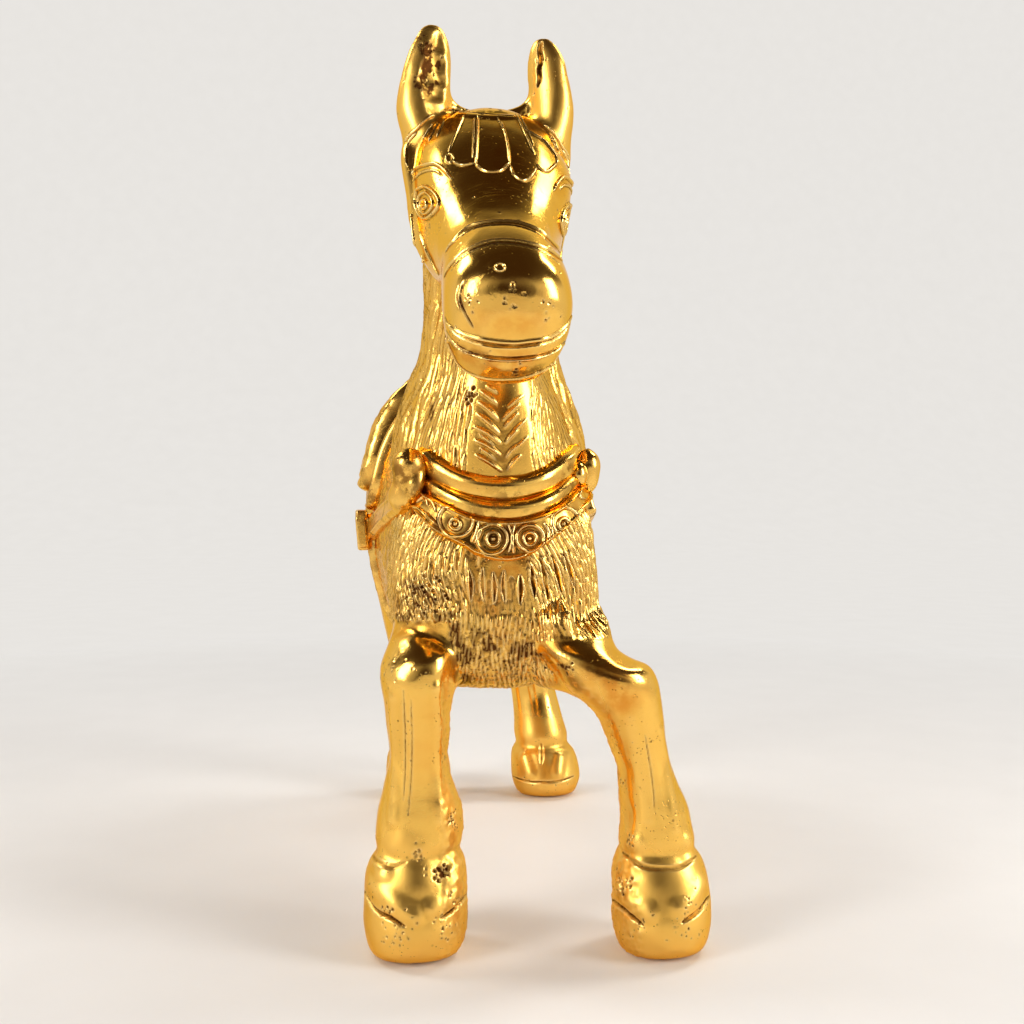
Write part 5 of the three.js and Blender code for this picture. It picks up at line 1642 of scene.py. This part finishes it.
def make_band(rows=100, columns=380):
    """The crescent across the chest, with its rim, rosettes and scrolls."""
    top = evenly(smooth_rows(pixels(BAND_TOP), 80), columns)
    bottom = evenly(smooth_rows(pixels(BAND_BOTTOM), 80), columns)
    across, along = np.linspace(0, 1, rows)[:, None], np.linspace(0, 1, columns)[None]
    places = bottom + (top - bottom) * across[:, :, None]
    tall = np.linalg.norm(top - bottom, axis=1)[None] / PIXELS_PER_MM
    ways = np.array([[pixel_way(*place) for place in line] for line in places.tolist()])
    at, out = laid(np.broadcast_to(EYE - ORIGIN, ways.shape), ways, 6)
    thick = BAND_THICK * rounded(across, tall, 0.6) * rounded(along, BAND_LENGTH, 1.2)
    raised, sunk = Stamps(), Stamps()
    for px0, py0, size, surround in ROSETTES:
        raised.line(pixel_line(surround, 0.07), 0.34, 0.4, 0)
        raised.line(pixel_line(ring_of(px0, py0, size, size * 1.1), 0.06), 0.36, 0.42, 0)
        knob = seen(px0, py0)
        raised.spot(knob, 0.45, 0.5)
        sunk.spot(knob, 1.8, 0.12)
    for drawn in SCROLLS.strip().splitlines():
        raised.line(pixel_line(pixels(drawn), 0.07), 0.34, 0.44, 0.25)
    flat = at.reshape(-1, 3)
    lift = raised.field(flat) - sunk.field(flat, soft_profile) + ripple(flat, [(4, 0.05), (1.6, 0.02)])
    rim = 0.26 * bell(from_edge(across, tall), 0.62, 0.24)
    outer = at + out * (thick + (lift.reshape(thick.shape) + rim) * smoothstep(thick, 0.4, 1.0))[:, :, None]
    add_piece("breast_band", *closed_grid(outer, at - out * 0.5))


make_band()


# ---- the saddle, its cloth and the girth, as sheets round an axis along the trunk
AXIS_Z = 66.0
CLOTH = dict(front=33, rear=67, hem=69.5, corner=6)
SADDLE = dict(front=36, rear=64, hem=72.5, corner=6)
CLOTH_THICK, SADDLE_THICK, GIRTH_THICK, STRAP_THICK = 1.4, 3.4, 1.3, 1.35
# the radius that turns an angle into a length round the trunk, at the corners, the cloth and the saddle
CORNER_RADIUS, CLOTH_RADIUS, SADDLE_RADIUS = 19.0, 21, 22
GIRTH_WIDE, GIRTH_LONG = 5, 90
# the strap's lower middle line: how far under the boss it starts, and where it meets the buckle
STRAP_WIDE, STRAP_LONG, STRAP_UNDER, STRAP_REAR, STRAP_REAR_Z = 4, 32, 3.9, 38.7, 65.5


def wrap(name, ys, angles, thick, slot="polished_gilt"):
    """A sheet over the trunk, given for each grid point its place along and its angle from the top."""
    start = np.stack([0 * ys, ys, np.full(ys.shape, AXIS_Z)], 2)
    at, out = laid(start, np.stack([np.sin(angles), 0 * angles, np.cos(angles)], 2), 3)
    add_piece(name, *closed_grid(at + out * thick[:, :, None], at - out * 0.4), slot)


def hem_angle(hem):
    """The angle from the top at which the trunk's side comes down to a height."""
    angles = np.linspace(0.2, 2.4, 120)
    for angle in angles:
        hit = skin_tree.ray_cast(Vector((0, 50, AXIS_Z)), Vector((math.sin(angle), 0, math.cos(angle))))[0]
        if hit and hit[2] < hem:
            return angle
    return angles[-1]


def sheet(front, rear, hem, corner, rows=210, columns=120):
    """Places and angles of a saddle-shaped sheet with round lower corners."""
    end = hem_angle(hem)
    angles = np.linspace(-end, end, rows)
    turn = corner / CORNER_RADIUS
    drop = np.clip((np.abs(angles) - (end - turn)) / turn, 0, 1)
    inset = corner * (1 - np.sqrt(np.clip(1 - drop**2, 0, 1)))
    along, across = np.linspace(0, 1, columns)[None], np.linspace(0, 1, rows)[:, None]
    ys = (front + inset)[:, None] + (rear - front - 2 * inset)[:, None] * along
    return ys, np.broadcast_to(angles[:, None], ys.shape), along, across


def make_cloth():
    """The saddle's cloth, with two lines of piping inside its edge."""
    ys, angles, along, across = sheet(**CLOTH)
    long, wide = CLOTH["rear"] - CLOTH["front"], 2 * hem_angle(CLOTH["hem"]) * CLOTH_RADIUS
    thick = CLOTH_THICK * rounded(along, long, 0.7) * rounded(across, wide, 0.7)
    edge = np.minimum(from_edge(along, long), from_edge(across, wide))
    piping = 0.35 * bell(edge, 0.9, 0.4) + 0.2 * bell(edge, 2.3, 0.22)
    wrap("saddle_cloth", ys, angles, thick + piping * (thick > 0.8), "chased_gilt")


def make_saddle():
    """The saddle, raised at its pommel and cantle, with a tooled line and a mottled seat."""
    ys, angles, along, across = sheet(**SADDLE)
    long, wide = SADDLE["rear"] - SADDLE["front"], 2 * hem_angle(SADDLE["hem"]) * SADDLE_RADIUS
    lift = lambda middle, half, rise: rise * (1 - smoothstep(np.abs(ys - middle), 0, half))
    rise = (lift(38.4, 6, 1.8) + lift(61.2, 7, 2.4)) * smoothstep(np.cos(angles), 0.55, 1.0)
    thick = SADDLE_THICK * rounded(along, long, 1.5) * rounded(across, wide, 1.5)
    edge = np.minimum(from_edge(along, long), from_edge(across, wide))
    tooled = -0.22 * bell(edge, 2.6, 0.3)
    flat = np.stack([angles * 20, ys, 0 * ys], 2).reshape(-1, 3)
    mottle = ripple(flat, [(2.6, 0.09), (1.2, 0.06)]).reshape(ys.shape)
    relief = tooled + mottle * thick / SADDLE_THICK
    wrap("saddle", ys, angles, thick + rise * rounded(along, long, 1.5) + relief)


def make_girth(rows=240, columns=26):
    """The girth under the belly, from hem to hem, with a stitched groove along each edge."""
    end = hem_angle(CLOTH["hem"]) + 0.02
    angles = np.linspace(end, 2 * math.pi - end, rows)[:, None]
    along, across = np.linspace(0, 1, columns)[None], np.linspace(0, 1, rows)[:, None]
    thick = GIRTH_THICK * rounded(along, GIRTH_WIDE, 0.6) * rounded(across, GIRTH_LONG, 0.6)
    stitch = -0.15 * bell(from_edge(along, GIRTH_WIDE), 1.0, 0.2)
    ys = np.broadcast_to(GIRTH_Y + GIRTH_WIDE * along, thick.shape)
    wrap("girth", ys, np.broadcast_to(angles, thick.shape), thick + stitch)


make_cloth()
make_saddle()
make_girth()


def make_strap(side, name, rows=40, columns=220):
    """The strap from a boss back to the girth's buckle."""
    front, rear = boss_spot(side)[1] + 1.0, STRAP_REAR
    y = np.linspace(front, rear, columns)
    across, along = np.linspace(0, 1, rows)[:, None], np.linspace(0, 1, columns)[None]
    z = np.interp(y, [front, rear], [BOSS_Z - STRAP_UNDER, STRAP_REAR_Z])[None] + STRAP_WIDE * (across - 0.5)
    start = np.stack([0 * z, np.broadcast_to(y, z.shape), z], 2)
    at, out = laid(start, [float(side), 0.0, 0.0], 3)
    thick = STRAP_THICK * rounded(across, STRAP_WIDE, 0.6) * rounded(along, STRAP_LONG, 0.5)
    rib = 0.16 * bell(from_edge(across, STRAP_WIDE), 0.7, 0.25) * (thick > 0.8)
    add_piece("shoulder_strap_" + name, *closed_grid(at + out * (thick + rib)[:, :, None], at - out * 0.4))


KNOTS = {
    "right": [
        ([-34.5, -34.8, -34.6, -33.6, -32], "413,450 409,464 405,482 402,498 399,511", [1.6, 2.8, 2.0, 2.3, 1.0]),
        ([-34.5, -35.4, -35.6, -34.8], "422,462 417,474 414,487 411,498", [0.8, 1.5, 1.5, 0.8]),
    ],
    "left": [
        ([-31, -31.5, -31.5, -31, -30], "582,452 587,462 587,473 585,484 582,494", [1.3, 2.1, 2.1, 1.9, 0.9]),
        ([-32, -33, -33, -32], "574,462 578,470 578,480 576,488", [0.7, 1.3, 1.3, 0.7]),
    ],
}


def make_boss(name):
    """A knot of two turns that closes the collar at the shoulder."""
    points, faces, _ = join([seen_limb(*turn) for turn in KNOTS[name]])
    skin = remesh(points, faces, 0.2)
    skin.relax(3)
    add_piece("collar_boss_" + name, skin.points, skin.faces())


def make_buckle(name, voxel=0.16, relax=5, grow=0.12):
    """A buckle's CAD node, cast over with round edges."""
    points, corners, starts = mesh_arrays(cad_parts[name].data)
    ends = np.append(starts[1:], len(corners))
    faces = [corners[a:b].tolist() for a, b in zip(starts.tolist(), ends.tolist())]
    skin = remesh(points / MM - ORIGIN, faces, voxel)
    skin.relax(relax)
    skin.points = skin.points + skin.normals() * grow
    add_piece(name, skin.points, skin.faces())


for side, name in ((-1, "right"), (1, "left")):
    make_strap(side, name)
    make_boss(name)
for name in ("girth_buckle_right", "girth_buckle_left"):
    make_buckle(name)

# ---------------------------------------------------------------- the studio
scene = bpy.context.scene
scene.view_settings.view_transform = "Standard"


def sweep():
    """A pale paper sweep: a floor that rises behind into a wall."""
    floor_y = [-3.0, -1.5, -0.6, 0.0, 0.5, 0.9]
    bend = [(0.9 + 0.5 * math.sin(t), 0.5 - 0.5 * math.cos(t)) for t in np.linspace(0.12, math.pi / 2, 14)]
    path = [(y, 0.0) for y in floor_y] + bend + [(1.4, 2.6)]
    points = [(x, y, z) for y, z in path for x in (-3.5, 3.5)]
    faces = [(2 * i, 2 * i + 1, 2 * i + 3, 2 * i + 2) for i in range(len(path) - 1)]
    mesh = bpy.data.meshes.new("sweep")
    mesh.from_pydata(points, [], faces)
    mesh.shade_smooth()
    obj = bpy.data.objects.new("sweep", mesh)
    scene.collection.objects.link(obj)
    mesh.materials.append(paper())


def paper():
    """Pale paper that keeps the shadows near the horse, and shows its plain colour further off."""
    material, tree = new_tree("paper")
    spot = node(tree, "ShaderNodeTexCoord").outputs["Object"]
    grain = node(tree, "ShaderNodeTexNoise", {"Vector": spot, "Scale": 60.0, "Detail": 4.0}).outputs["Fac"]
    colour = mix(tree, grain, (0.79, 0.765, 0.73, 1), (0.83, 0.805, 0.77, 1))
    diffuse = node(tree, "ShaderNodeBsdfPrincipled", {"Base Color": colour, "Roughness": 0.7})
    glow = node(tree, "ShaderNodeEmission", {"Color": colour, "Strength": 1.0})
    path = node(tree, "ShaderNodeLightPath").outputs
    either = worked(tree, "MAXIMUM", path["Is Camera Ray"], path["Is Glossy Ray"])
    either = worked(tree, "MAXIMUM", either, path["Is Transmission Ray"])
    far = node(tree, "ShaderNodeVectorMath", {0: spot}, operation="LENGTH").outputs["Value"]
    fade = node(tree, "ShaderNodeMapRange", {"Value": far, "From Min": 0.13, "From Max": 0.36})
    share = worked(tree, "MULTIPLY", either, fade.outputs[0])
    both = node(tree, "ShaderNodeMixShader", {0: share, 1: diffuse.outputs[0], 2: glow.outputs[0]})
    tree.links.new(both.outputs[0], node(tree, "ShaderNodeOutputMaterial").inputs[0])
    return material


sweep()


def studio_world():
    """Pale over the sweep, darker on the side that the camera stands on, as a studio is."""
    world = bpy.data.worlds.new("studio")
    scene.world = world
    world.use_nodes = True
    tree = world.node_tree
    way = node(tree, "ShaderNodeTexCoord").outputs["Generated"]
    parts = node(tree, "ShaderNodeSeparateXYZ", {0: way}).outputs
    low = worked(tree, "MAXIMUM", eased(tree, parts["Z"], 0.62, 0.3), eased(tree, parts["Y"], 0.2, 0.65, 0.75))
    pale = worked(tree, "MULTIPLY", eased(tree, parts["Y"], -0.98, -0.7), low)
    pale = worked(tree, "MAXIMUM", pale, node(tree, "ShaderNodeLightPath").outputs["Is Camera Ray"])
    colour = mix(tree, pale, (0.045, 0.026, 0.014, 1), (0.82, 0.805, 0.78, 1))
    tree.links.new(colour, tree.nodes["Background"].inputs["Color"])


studio_world()


def softbox(name, place, aim, size, power):
    """A lamp with a soft rectangle of light: metres and watts."""
    light = bpy.data.lights.new(name, "AREA")
    light.shape = "RECTANGLE"
    light.size, light.size_y = size
    light.energy = power
    obj = bpy.data.objects.new(name, light)
    obj.location = place
    obj.rotation_euler = (Vector(aim) - Vector(place)).to_track_quat("-Z", "Y").to_euler()
    scene.collection.objects.link(obj)
    return obj


softbox("key", (0.46, -0.3, 0.26), (0, 0, 0.09), (0.2, 0.34), 2.0)
softbox("fill", (-0.48, -0.32, 0.26), (0, 0, 0.09), (0.2, 0.34), 1.7)
softbox("high_key", (0.34, 0.1, 0.5), (0, 0, 0.12), (0.13, 0.17), 0.9)
softbox("high_fill", (-0.35, 0.13, 0.48), (0, 0, 0.12), (0.13, 0.17), 0.8)
softbox("overhead", (0.0, 0.1, 1.0), (0, 0.05, 0.0), (0.9, 0.7), 3.1).visible_glossy = False

camera_data = bpy.data.cameras.new("camera")
camera = bpy.data.objects.new("camera", camera_data)
camera_data.sensor_width = 36
camera_data.lens = camera_data.sensor_width * FOCAL / PICTURE
camera_data.shift_y = -(CENTRE - HORIZON) / PICTURE
camera_data.clip_start = 0.01
camera.location = EYE * MM
camera.rotation_euler = (math.pi / 2, 0, math.radians(EYE_TURN))
scene.collection.objects.link(camera)
scene.camera = camera
